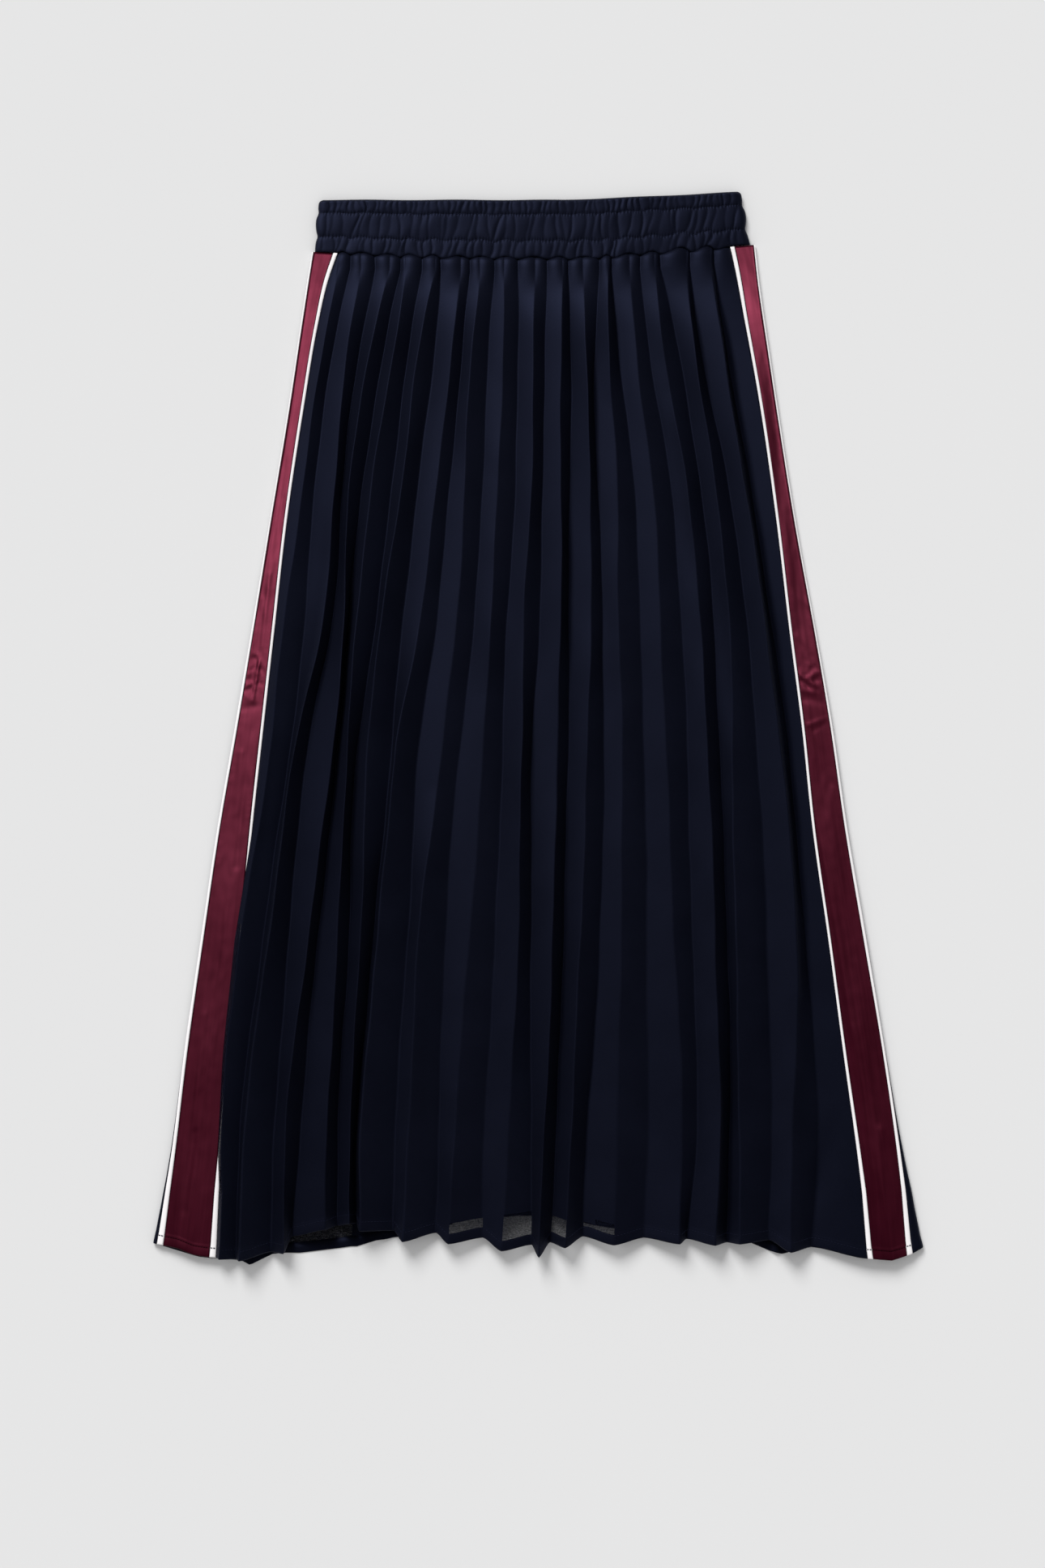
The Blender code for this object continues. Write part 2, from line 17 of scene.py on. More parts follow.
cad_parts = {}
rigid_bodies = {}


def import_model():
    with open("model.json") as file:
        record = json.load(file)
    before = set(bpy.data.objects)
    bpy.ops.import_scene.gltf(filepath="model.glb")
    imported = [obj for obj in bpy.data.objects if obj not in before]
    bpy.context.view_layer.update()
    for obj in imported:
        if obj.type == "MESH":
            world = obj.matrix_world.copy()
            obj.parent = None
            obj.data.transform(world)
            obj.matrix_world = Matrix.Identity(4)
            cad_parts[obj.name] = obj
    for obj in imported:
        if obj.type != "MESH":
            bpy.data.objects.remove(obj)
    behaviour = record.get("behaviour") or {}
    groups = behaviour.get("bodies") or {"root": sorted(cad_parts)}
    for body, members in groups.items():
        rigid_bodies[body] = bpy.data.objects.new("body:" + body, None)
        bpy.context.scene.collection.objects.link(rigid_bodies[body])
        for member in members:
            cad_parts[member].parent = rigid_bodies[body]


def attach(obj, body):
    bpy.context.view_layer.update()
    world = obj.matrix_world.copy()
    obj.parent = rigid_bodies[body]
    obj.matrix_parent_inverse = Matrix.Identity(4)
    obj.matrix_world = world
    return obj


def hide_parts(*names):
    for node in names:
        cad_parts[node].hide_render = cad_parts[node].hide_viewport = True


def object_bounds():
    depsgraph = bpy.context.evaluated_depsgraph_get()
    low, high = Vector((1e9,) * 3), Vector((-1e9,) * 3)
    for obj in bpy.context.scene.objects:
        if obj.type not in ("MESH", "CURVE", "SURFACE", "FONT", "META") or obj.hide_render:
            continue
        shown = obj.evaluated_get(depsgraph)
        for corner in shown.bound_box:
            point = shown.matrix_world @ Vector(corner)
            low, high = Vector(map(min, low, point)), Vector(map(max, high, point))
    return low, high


bl_info = {
    "name": "Pleated maxi skirt",
    "version": (1, 0, 0),
    "blender": (4, 5, 0),
    "location": "View3D > Sidebar > Skirt",
    "description": "Builds a pleated maxi skirt with a gathered waistband and piped satin side stripes",
    "category": "Object",
}

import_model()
cad_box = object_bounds()

MM = 0.001
BODY = "root"

# ---- The garment's form, in millimetres ----

GAP = 0.3  # between pieces at a seam
SEAM_LEVEL = 398.8  # height of the waist seam, where the drops start
TOP_LEVEL = 449.8  # highest point of the waistband, before the skirt is centred
CENTRING = cad_box[1].y / MM - TOP_LEVEL
LEVEL_OUT = 60.0  # drop over which the rows go from the waist seam's curve to level
LAST_LEVEL_DROP = 788.0  # below it the rows bend to follow the hem
HEM_DROP = 830.0
HEM_TURN = 9.0  # depth of the turned hem
HEM_STEP = 2.5
HEM_NEAR = HEM_TURN + HEM_STEP  # below this height above the hem, the rows follow the hem

SEAM_LINE = (
    (-189, 399.5), (-125, 396.0), (-71, 394.4), (24, 393.4),
    (55, 394.8), (96, 398.0), (137, 401.5), (182, 405.5),
)
TOP_LINE = ((-184, 443.0), (22, 443.0), (88, 445.7), (170, 449.8))

# The waistband's two ends, at parts of its depth from its top edge
BAND_DOWNS = (0.00, 0.07, 0.16, 0.25, 0.36, 0.48, 0.60, 0.70, 0.80, 0.91, 1.00)
BAND_LEFT = (-183.5, -184.2, -184.6, -184.4, -186.2, -186.7, -186.2, -185.3, -186.6, -187.2, -187.4)
BAND_RIGHT = (169.8, 170.4, 171.0, 171.0, 173.4, 174.4, 174.2, 173.6, 175.4, 176.8, 177.8)
BAND_SPLIT = 3.2  # height of the seam between its two halves
BAND_BODY, BAND_PUFF = 2.1, 1.6  # how thick the front half is, and how far its gathers puff out
BAND_EDGE = 6.0  # how far in from its ends it rounds over
STITCH_ROWS = (0.25, 0.70)  # parts of the waistband's depth where it is sewn through the elastic

# Each side, down SIDE_DROPS: its outline, the front panel's seam, how much of the side shows outside the
# satin, and the widths of the two pipings
SIDE_DROPS = (0, 22, 60, 128, 223, 318, 400, 481, 577, 672, 753, 830)
Side = namedtuple("Side", "outline seam shows front_piping back_piping")
LEFT_SIDE = Side(
    outline=(189.0, 192.8, 198.6, 208.8, 224.4, 240.4, 254.7, 268.6, 283.2, 297.5, 308.4, 323.0),
    seam=(168.3, 175.8, 184.6, 196.2, 210.5, 221.3, 230.5, 239.4, 248.5, 258.7, 265.2, 270.3),
    shows=(0.3, 0.8, 0.7, 0.7, 0.6, 1.5, 2.2, 2.0, 2.4, 3.2, 4.4, 8.6),
    front_piping=(3.7, 3.4, 2.8, 2.6, 2.4, 2.4, 2.4, 2.4, 2.4, 2.6, 3.0, 5.4),
    back_piping=(2.6, 2.6, 2.6, 2.6, 2.6, 2.6, 2.6, 2.6, 2.6, 2.9, 3.3, 5.2),
)
RIGHT_SIDE = Side(
    outline=(181.2, 183.9, 189.7, 199.9, 214.9, 232.2, 246.8, 258.7, 275.7, 291.6, 306.0, 323.0),
    seam=(160.8, 165.9, 173.4, 185.6, 199.2, 210.5, 221.0, 229.5, 243.1, 255.7, 266.9, 276.1),
    shows=(0.5, 0.8, 0.7, 0.7, 0.6, 0.6, 1.7, 2.1, 3.0, 2.8, 5.6, 14.0),
    front_piping=(3.7, 3.4, 2.8, 2.6, 2.4, 2.2, 2.2, 2.2, 2.2, 2.4, 3.0, 4.4),
    back_piping=(2.6, 2.6, 2.6, 2.6, 2.6, 2.6, 2.6, 2.6, 2.6, 2.3, 2.9, 4.8),
)
EDGE_SLOPE = 22.0  # how far in the side slopes down to its edge
NARROW_SLOPE = 0.8  # and at most this part of a narrow side
STRAIGHT = 0.75  # how straight that slope is
NOSE_DROPS = (0, 60, 320, 577, 830)
NOSE_RADII = (2.3, 2.75, 2.75, 2.4, 2.4)
BACK_MARGIN = 14.0  # from the outline to the back panel's own columns
UNDER_REACH = 90.0

COVER_DROPS = (0, 400, 481, 577, 672, 753, 788, 830)
COVER = (0, 0, 0, 6.5, 6.0, 3.8, 0, 0)  # how far the first fold lies over the left piping
COVER_LIFT = (0, 0, 2.3, 2.3, 2.3, 2.3, 2.3, 0)

FOLD_DROPS = (12, 94, 196, 305, 417, 577, 740, 830)
# The front panel's folds, a crest and a valley in turn: where each lies at FOLD_DROPS, and the hem's drop
FRONT_FOLDS = (
    (-168, -183, -197, -213, -225, -250, -268, -268, 844),
    (-158, -174, -188, -195, -208, -231, -250, -254, 844),
    (-148, -162, -170, -180, -204, -226, -247, -250, 845),
    (-137, -152, -164, -172, -194, -209, -221, -224, 838),
    (-125, -143, -159, -162, -172, -193, -212, -214, 839),
    (-115, -132, -147, -159, -168, -185, -200, -206, 825),
    (-111, -123, -140, -152, -160, -168, -177, -179, 819),
    (-98, -110, -123, -135, -152, -159, -168, -169, 816),
    (-86, -103, -114, -132, -143, -149, -158, -158, 814),
    (-82, -88, -101, -113, -123, -138, -152, -153, 814),
    (-65, -73, -86, -98, -121, -136, -150, -150, 820),
    (-57, -65, -74, -85, -100, -109, -120, -121, 820),
    (-49, -57, -62, -68, -81, -101, -109, -114, 829),
    (-37, -42, -47, -53, -66, -78, -83, -86, 822),
    (-28, -30, -34, -40, -46, -58, -71, -75, 831),
    (-17, -17, -19, -26, -30, -36, -45, -47, 826),
    (-3, -4, -6, -12, -14, -17, -25, -31, 837),
    (8, 5, 4, 1, -5, -6, -6, -5, 832),
    (20, 19, 19, 19, 16, 12, 5, 0, 842),
    (25, 28, 26, 26, 25, 21, 15, 10, 830),
    (38, 40, 44, 44, 41, 35, 27, 23, 834),
    (51, 47, 50, 54, 55, 52, 41, 37, 825),
    (58, 60, 66, 67, 70, 69, 66, 63, 832),
    (62, 68, 81, 85, 89, 91, 92, 89, 826),
    (76, 83, 96, 102, 107, 114, 121, 118, 831),
    (85, 95, 111, 120, 125, 129, 133, 124, 827),
    (98, 106, 125, 135, 142, 148, 152, 149, 832),
    (102, 120, 136, 147, 152, 159, 161, 158, 830),
    (124, 133, 148, 160, 162, 165, 168, 168, 831),
    (127, 138, 160, 174, 184, 192, 196, 194, 828),
    (144, 157, 173, 189, 203, 217, 213, 211, 838),
    (147, 160, 178, 195, 210, 224, 235, 229, 834),
)
LEAST_SPACING = 2.5  # between two folds
FACET_AT_WAIST, FACET_AT_HEM = 14.0, 21.0  # widths of the cloth from fold to fold
PLEAT_RELAX = 0.8  # the part of its full height that a pleat keeps
LEAST_RISE, MOST_RISE = 5.0, 11.0  # of a crest over the panel's base
GATHERED_RISE, RELEASE = 0.3, 75.0  # the part of it at the waist seam, and the drop where it is all there
RIGHT_SEAM_RISE, RIGHT_SEAM_RUN = 3.0, 120.0  # the right seam lies so much higher, from this drop down

BACK_RISE_AT_WAIST, BACK_RISE = 1.2, 2.6
FRONT_BASE_AT_WAIST, FRONT_BASE, FRONT_BASE_AT_HEM = 5.0, 6.3, 7.9
HEM_LIFT_START, HEM_LIFT = 700.0, 110.0

BACK_PLEATS = 17
STRIP_START, STRIP_END, INNER_FOLD = 0.12, 0.76, 0.94  # where these lie, as parts of the pleats' pitch
STRIP_SWAY = 0.05
BACK_HEM_STEP = 1.8  # how far the back hem steps up and down from pleat to pleat
BACK_SHOWS = (-216.0, -156.0)  # across the skirt, where the back's cloth shows under the front's hem
BACK_HEM = (
    (-323, -432.1), (-285, -443.7), (-250, -446.4), (-242, -450.4), (-221, -440.3), (-200, -440.3),
    (-166, -436.2), (-125, -430.1), (-61, -413.8), (-17, -407.0), (24, -412.4), (49, -415.5),
    (76, -420.6), (119, -424.7), (178, -432.1), (206, -440.0), (229, -435.5), (269, -441.0),
    (303, -442.3), (323, -435.5),
)
LEFT_HEM = ((-323, -432.1), (-314, -433.8), (-302, -436.2), (-289, -441.7), (-278, -443.3), (-270, -443.8))
RIGHT_HEM = ((276, -444.6), (296, -446.2), (304, -443.9), (313, -441.0), (323, -435.5))


def eased(t):
    t = np.clip(t, 0.0, 1.0)
    return t * t * (3 - 2 * t)


def blended(start, end, t):
    return start + (end - start) * eased(t)


def curve(places, values, at):
    """A smooth curve through a table's values, held level past its ends."""
    places = np.asarray(places, float)
    values = np.asarray(values, float)
    at = np.clip(at, places[0], places[-1])
    i = np.clip(np.searchsorted(places, at, side="right") - 1, 0, len(places) - 2)
    slopes = np.gradient(values, places)
    step = places[i + 1] - places[i]
    t = (at - places[i]) / step
    start = (1 + 2 * t) * (1 - t) ** 2 * values[i] + t * (1 - t) ** 2 * step * slopes[i]
    end = t * t * (3 - 2 * t) * values[i + 1] + t * t * (t - 1) * step * slopes[i + 1]
    return start + end


def line(table, x):
    return np.interp(x, [corner[0] for corner in table], [corner[1] for corner in table])


def front_base(drop):
    upper = blended(FRONT_BASE_AT_WAIST, FRONT_BASE, drop / LEVEL_OUT)
    return upper + (FRONT_BASE_AT_HEM - FRONT_BASE) * eased((drop - HEM_LIFT_START) / HEM_LIFT)


def back_rise(drop):
    return blended(BACK_RISE_AT_WAIST, BACK_RISE, drop / LEVEL_OUT)


def right_seam_rise(drop):
    return RIGHT_SEAM_RISE * eased(drop / RIGHT_SEAM_RUN)


def rounded(t):
    """A quarter circle's height at t, from 0 at its foot to 1 at its top."""
    return np.sqrt(np.clip(1 - (1 - np.clip(t, 0.0, 1.0)) ** 2, 0.0, 1.0))


# ---- Rows of cloth from the waist seam to the hem, and back up inside it ----

HEM_BULK = 0.25  # how far the turned hem stands proud
HEM_FOLD = 0.75  # between the cloth and its turned-in edge


class Row:
    """A row of a grid: its drop, and near the hem its height above it and how far in or out it lies."""

    def __init__(self, drop, above=None, inside=0.0, proud=0.0):
        self.drop = float(drop)
        self.above = above
        self.inside = inside
        self.proud = proud

    def height(self, x, hem):
        seam = line(SEAM_LINE, x) - GAP - self.drop
        level = blended(seam, SEAM_LEVEL - self.drop, self.drop / LEVEL_OUT)
        if self.above is not None:
            return hem + self.above
        if self.drop <= LAST_LEVEL_DROP:
            return level
        share = (self.drop - LAST_LEVEL_DROP) / (HEM_DROP - HEM_NEAR - LAST_LEVEL_DROP)
        last = SEAM_LEVEL - LAST_LEVEL_DROP
        return last + (hem + HEM_NEAR - last) * share


# Heights above the hem's edge, and how fully the cloth stands proud there or is turned inside
HEM_BAND = ((10.8, 0.0), (9.8, 0.3), (8.9, 0.6), (7.9, 0.3), (6.8, 0.7), (4.0, 1.0), (1.4, 1.0), (0.4, 0.6))
HEM_INSIDE = ((0.0, 0.25), (0.1, 0.8), (0.8, 1.0), (4.0, 1.0), (8.6, 1.0))


def cloth_rows(spacing, waist_spacing):
    """Rows close together at the waist, evenly spaced below it, and shaped round the turned hem."""
    drops = [0.0]
    while drops[-1] < HEM_DROP - HEM_NEAR:
        step = waist_spacing + (spacing - waist_spacing) * float(eased(drops[-1] / LEVEL_OUT))
        drops.append(drops[-1] + step)
    drops[-1] = HEM_DROP - HEM_NEAR
    rows = [Row(drop) for drop in drops]
    rows += [Row(HEM_DROP - above, above, 0.0, HEM_BULK * share) for above, share in HEM_BAND]
    rows += [Row(HEM_DROP - above, above, HEM_FOLD * share) for above, share in HEM_INSIDE]
    return rows


SEAM_TUCK = 1.2  # how far the front panel's top edge goes up inside the waistband
TUCK_DEPTH = 1.7  # and how far below the first row it lies there
FRONT_ROWS = [Row(-SEAM_TUCK), *cloth_rows(4.9, 1.4)]
BACK_ROWS = cloth_rows(7.0, 3.0)
PIPING_ROWS = cloth_rows(3.2, 2.0)
SATIN_ROWS = cloth_rows(1.8, 1.8)


def section_normals(points):
    """Unit normals of a row of (x, z) points, facing up for a row that runs to +X."""
    steps = np.gradient(points, axis=0)
    normals = np.column_stack([-steps[:, 1], steps[:, 0]])
    return normals / np.maximum(np.linalg.norm(normals, axis=1)[:, None], 1e-9)


def moved_off(section, row):
    """A row's section, moved out where the hem is thick and in where its edge is turned inside."""
    return section + section_normals(section) * (row.proud - row.inside)


# ---- The front panel ----

ACROSS_FACET = (0.0, 0.06, 0.18, 0.38, 0.62, 0.82, 0.94)  # where a facet's columns lie between its folds
FACET_CROWN = 0.02  # how far a facet bows out, as a part of its width
PUFFED_CROWN, PUFF_DROP = 0.20, 34.0  # and just below the waist seam, where the pleats are rounded
FIRST_RISE = 0.55  # the first crest lies lower than the others
CREST_PINCH = 0.35  # the heat-set edge of a crest stands up by this
VALLEY_SINK, DEEP_SINK = 1.6, 3.0
SINK_START, SINK_RUN = 15.0, 90.0  # the drops over which the valleys get that deep
DEEP_VALLEYS = (3, 5, 7, 9, 19, 27, 31)  # folds where the cloth goes far in behind the next pleat
WANDER, FINE_WANDER, RISE_SWELL = 0.5, 0.25, 0.07  # how far a fold's place and rise vary down the skirt
HEM_ROUNDING = 0.7  # 0 gives straight hem lines between the folds, and 1 rounded points

# Soft creases: where the middle of each lies across and down, its length down the skirt, its width, its
# depth, and how far it drifts across per millimetre down. A negative depth is a ridge.
FRONT_CREASES = (
    (-150, 96, 90, 5, 0.8, -0.16), (-96, 150, 130, 6, 0.9, -0.14), (-30, 120, 110, 5, 0.6, -0.02),
    (70, 90, 80, 5, 0.8, 0.09), (118, 190, 140, 6, 0.9, 0.13), (-188, 300, 150, 6, 1.0, -0.13),
    (-120, 360, 170, 7, 0.8, -0.12), (-12, 330, 160, 6, -0.7, -0.03), (60, 350, 150, 7, 0.7, 0.05),
    (156, 330, 120, 6, 1.0, 0.10), (206, 420, 150, 6, 0.9, 0.10), (-228, 470, 140, 6, 1.0, -0.12),
    (-160, 520, 180, 7, 0.9, -0.08), (-68, 500, 170, 7, -0.7, -0.06), (20, 540, 190, 7, 0.7, -0.03),
    (101, 520, 160, 7, 0.9, 0.05), (184, 560, 180, 7, -0.8, 0.06), (-240, 640, 140, 7, 0.9, -0.08),
    (-190, 690, 120, 7, -0.9, -0.05), (-95, 700, 130, 7, 0.8, -0.04), (54, 690, 140, 7, 0.8, -0.03),
    (140, 710, 120, 7, -0.8, 0.02), (222, 700, 120, 8, 0.9, 0.03), (238, 772, 62, 8, 1.7, -0.22),
)


def creased(x, drop, creases):
    """How deep a table of creases lies at points x of one row."""
    depth = np.zeros_like(x)
    for middle, middle_drop, length, width, deep, drift in creases:
        along = (drop - middle_drop) / length
        if abs(along) <= 1.0:
            from_line = (x - middle - drift * (drop - middle_drop)) / width
            depth += deep * (1 - along * along) ** 2 * np.exp(-from_line * from_line)
    return depth


def fold_places(drop):
    """Where the front panel's folds cross a row, between its two edges, and the heights of those edges."""
    first = -curve(SIDE_DROPS, LEFT_SIDE.seam, drop) + GAP - np.interp(drop, COVER_DROPS, COVER)
    last = curve(SIDE_DROPS, RIGHT_SIDE.seam, drop) - GAP
    places = [float(curve(FOLD_DROPS, fold[:-1], drop)) for fold in FRONT_FOLDS]
    for i in range(len(places)):
        wander = WANDER * math.sin(0.031 * drop + 2.1 * i)
        wander += FINE_WANDER * math.sin(0.083 * drop + 1.3 * i * i)
        places[i] = max(places[i] + wander, (places[i - 1] if i else first) + LEAST_SPACING)
    for i in reversed(range(len(places))):
        after = places[i + 1] if i + 1 < len(places) else last
        places[i] = min(places[i], after - LEAST_SPACING)
    base = front_base(drop)
    left_height = base + np.interp(drop, COVER_DROPS, COVER_LIFT)
    return [float(first), *places, float(last)], float(left_height), float(base + right_seam_rise(drop))


def crest_rise(width, drop, order):
    facet = blended(FACET_AT_WAIST, FACET_AT_HEM, drop / HEM_DROP)
    full = math.sqrt(max(facet**2 - (width / 2) ** 2, 0.0))
    rise = min(max(PLEAT_RELAX * full, LEAST_RISE), MOST_RISE)
    swell = 1 + RISE_SWELL * math.sin(0.019 * drop + 1.9 * order)
    return rise * swell * blended(GATHERED_RISE, 1.0, drop / RELEASE)


def fold_lift(places, i, drop):
    """How far fold i, a crest where i is even, stands over the panel's base. Its place is places[i + 1]."""
    if i % 2:
        return -(DEEP_SINK if i in DEEP_VALLEYS else VALLEY_SINK) * eased((drop - SINK_START) / SINK_RUN)
    lift = crest_rise(places[i + 2] - places[i], drop, i) + CREST_PINCH
    return lift * (FIRST_RISE if i == 0 else 1.0)


SEAM_SCALLOP = 1.1  # how far the waist seam rises over a pleat and dips between two
SCALLOP_FADE = 12.0  # drop over which the rows below lose those waves
DOME_DROP = 7.0  # each pleat starts at the seam as a rounded dome of this length
DOME_DEPTH, VALLEY_DOME = 2.6, 0.35  # its depth at a crest, and the part of it in a valley

WAIST_FOLDS = fold_places(0.0)[0]
WAIST_CRESTS = [0.0, *((-1.0) ** i for i in range(len(FRONT_FOLDS))), 0.0]
FRONT_HEMS = [LEFT_HEM[-1][1], *(SEAM_LEVEL - fold[-1] for fold in FRONT_FOLDS), RIGHT_HEM[0][1]]


def seam_scallop(x):
    """The waist seam's small waves: up over each pleat of the front panel, and down between two."""
    return SEAM_SCALLOP * curve(WAIST_FOLDS, WAIST_CRESTS, x)


def dome(x, drop):
    """How far the cloth dips where it goes in under the waistband."""
    crest = 0.5 + 0.5 * curve(WAIST_FOLDS, WAIST_CRESTS, x)
    return DOME_DEPTH * (VALLEY_DOME + (1 - VALLEY_DOME) * crest) * (1.0 - rounded(drop / DOME_DROP))


def spread(values, share):
    """Values at the folds, spread over the columns of the facets between them."""
    values = np.asarray(values)
    return np.append(values[:-1, None] + np.diff(values)[:, None] * share, values[-1])


def front_points():
    """The front panel's outer face, row by row."""
    share = np.array(ACROSS_FACET)
    hem = spread(FRONT_HEMS, (1 - HEM_ROUNDING) * share + HEM_ROUNDING * eased(share))
    grid = []
    for row in FRONT_ROWS:
        places, left_height, right_height = fold_places(row.drop)
        base = float(front_base(row.drop))
        folds = [base + fold_lift(places, i, row.drop) for i in range(len(FRONT_FOLDS))]
        heights = [left_height, *folds, right_height]
        crown = blended(PUFFED_CROWN, FACET_CROWN, row.drop / PUFF_DROP)
        widths = np.hypot(np.diff(places), np.diff(heights))[:, None]
        x = spread(places, share)
        z = spread(heights, share) + np.append(4 * crown * widths * share * (1 - share), 0.0)
        z = z - creased(x, row.drop, FRONT_CREASES) - dome(x, row.drop)
        if row.drop < 0:
            z -= TUCK_DEPTH
        section = moved_off(np.column_stack([x, z]), row)
        height = row.height(x, hem) + seam_scallop(x) * (1.0 - eased(row.drop / SCALLOP_FADE))
        grid.append(np.column_stack([section[:, 0], height, section[:, 1]]))
    return np.array(grid)


# ---- The two sides: the path that the stripe, its pipings and the back panel's edge follow ----


class SidePath:
    """The cloth's outer face round one side, walked by the distance s from the front panel's seam."""

    TOP_POINTS, NOSE_POINTS, UNDER_POINTS = 25, 36, 29
    TIP = TOP_POINTS + NOSE_POINTS // 2 - 1  # the outermost point

    def __init__(self, sign, drop):
        side = LEFT_SIDE if sign < 0 else RIGHT_SIDE
        self.sign = sign
        measures = (float(curve(SIDE_DROPS, column, drop)) for column in side)
        self.outline, seam, shows, front_piping, back_piping = measures
        radius = float(np.interp(drop, NOSE_DROPS, NOSE_RADII))
        top = front_base(drop) + (right_seam_rise(drop) if sign > 0 else 0.0)
        run = self.outline - seam
        u_top = np.linspace(run, radius, self.TOP_POINTS)
        up = np.clip((u_top - radius) / min(EDGE_SLOPE, NARROW_SLOPE * run), 0.0, 1.0)
        z_top = 2 * radius + (top - 2 * radius) * (STRAIGHT * up + (1 - STRAIGHT) * eased(up))
        turn = np.radians(np.linspace(90, 270, self.NOSE_POINTS + 1))[1:]
        u_under = np.linspace(radius, UNDER_REACH, self.UNDER_POINTS + 1)[1:]
        self.top = (u_top[::-1], z_top[::-1])
        self.u = np.concatenate([u_top, radius + radius * np.cos(turn), u_under])
        self.z = np.concatenate([z_top, radius + radius * np.sin(turn), np.zeros(self.UNDER_POINTS)])
        self.s = np.concatenate([[0.0], np.cumsum(np.hypot(np.diff(self.u), np.diff(self.z)))])
        self.edge = float(self.s[self.TIP])
        to_tip = slice(self.TIP, None, -1)
        satin_end = float(np.interp(shows, self.u[to_tip], self.s[to_tip]))
        self.widths = (front_piping, satin_end - front_piping - GAP, back_piping)
        self.starts = np.concatenate([[0.0], np.cumsum([width + GAP for width in self.widths])])
        under = slice(-self.UNDER_POINTS, None)
        self.margin = float(np.interp(BACK_MARGIN, self.u[under], self.s[under]))
        self.across = np.gradient(self.z, self.s)
        self.along = np.gradient(self.u, self.s)

    def at(self, s, proud):
        """Points (x, z) at distances s along the path, moved out by `proud`, and which of them face up."""
        across = np.interp(s, self.s, self.across)
        along = np.interp(s, self.s, self.along)
        length = np.hypot(across, along)
        u = np.interp(s, self.s, self.u) + proud * across / length
        z = np.interp(s, self.s, self.z) - proud * along / length
        return self.sign * (self.outline - u), np.maximum(z, 0.0), s < self.edge

    def top_height(self, u):
        return float(np.interp(u, *self.top))


def side_hem(x, faces_up):
    front = line(LEFT_HEM, x) if x[0] < 0 else line(RIGHT_HEM, x)
    return np.where(faces_up, front, line(BACK_HEM, x))


def side_points(sign, rows, part, profile):
    """A strip of the side, from its own rows. `profile` gives how far out each point lies."""
    grid = []
    for row in rows:
        path = SidePath(sign, row.drop)
        if part == "back_edge":
            start, width = path.starts[3], path.margin - path.starts[3]
        else:
            start, width = path.starts[part], path.widths[part]
        share = np.linspace(0.0, 1.0, profile.columns)
        proud = profile.lift(share, width, row) + row.proud - row.inside
        x, z, up = path.at(start + width * share, proud)
        points = np.column_stack([x, row.height(x, side_hem(x, up)), z])
        grid.append(points[::-1] if sign < 0 else points)
    return np.array(grid)


class PipingProfile:
    """A cord in a folded strip: a round ridge between its two seams."""

    columns = 9
    PROUD, NARROW_PROUD = 0.75, 0.3  # its height, and the most as a part of its width

    def lift(self, share, width, row):
        height = min(self.PROUD, self.NARROW_PROUD * width)
        return height * np.sqrt(np.maximum(1 - (2 * share - 1) ** 2, 0.0))


# Puckers in the satin: small ridges, or grooves where the height is negative, from one place to another.
# Each place is a drop and how far across the stripe it is, from 0 at the front seam to 1 at the back one.
# Then come the pucker's reach to its sides, and its height.
LEFT_PUCKERS = (
    (334, 0.98, 339, 0.50, 1.7, 0.40), (341, 0.97, 340, 0.66, 1.3, -0.34),
    (343, 0.45, 376, 0.50, 1.7, 0.40), (347, 0.95, 346, 0.68, 1.3, 0.26),
    (350, 0.33, 353, 0.12, 1.6, -0.32), (354, 0.98, 352, 0.62, 1.5, 0.38),
    (358.5, 0.99, 358, 0.66, 1.3, -0.42), (360, 0.32, 363, 0.10, 1.5, -0.32),
    (363, 0.98, 361, 0.60, 1.4, 0.40), (367.5, 0.99, 366, 0.62, 1.3, -0.38),
    (372, 0.90, 377, 0.40, 2.4, 0.34), (382, 0.95, 380, 0.05, 3.2, -0.34),
    (270, 0.50, 330, 0.42, 1.9, 0.22), (290, 0.78, 326, 0.80, 1.6, 0.16),
    (420, 0.70, 470, 0.55, 3.2, 0.26), (520, 0.30, 575, 0.45, 3.6, 0.24),
    (640, 0.70, 700, 0.60, 4.0, 0.26), (738, 0.60, 800, 0.62, 3.2, -0.50),
)
RIGHT_PUCKERS = (
    (353.5, 0.02, 366, 0.90, 2.0, 0.62), (356, 0.40, 352, 0.97, 1.5, 0.50),
    (358, 0.98, 359, 0.62, 1.5, -0.44), (359, 0.10, 364, 0.34, 1.5, -0.46),
    (367, 0.08, 369, 0.45, 1.9, 0.34), (374, 0.10, 377, 0.90, 3.4, -0.40),
    (397, 0.05, 390, 0.95, 1.5, 0.36), (401, 0.30, 396, 0.80, 1.5, -0.22),
    (322, 0.20, 334, 0.80, 3.4, 0.22), (296, 0.95, 286, 0.30, 3.0, 0.22),
    (450, 0.80, 480, 0.40, 3.4, 0.22), (545, 0.30, 590, 0.60, 3.8, -0.24),
    (650, 0.30, 700, 0.50, 4.0, 0.26), (736, 0.60, 786, 0.40, 4.0, 0.50),
)
GATHERED_DROP, GATHERED_REACH = 356.0, 14.0  # where the stripes are crumpled across


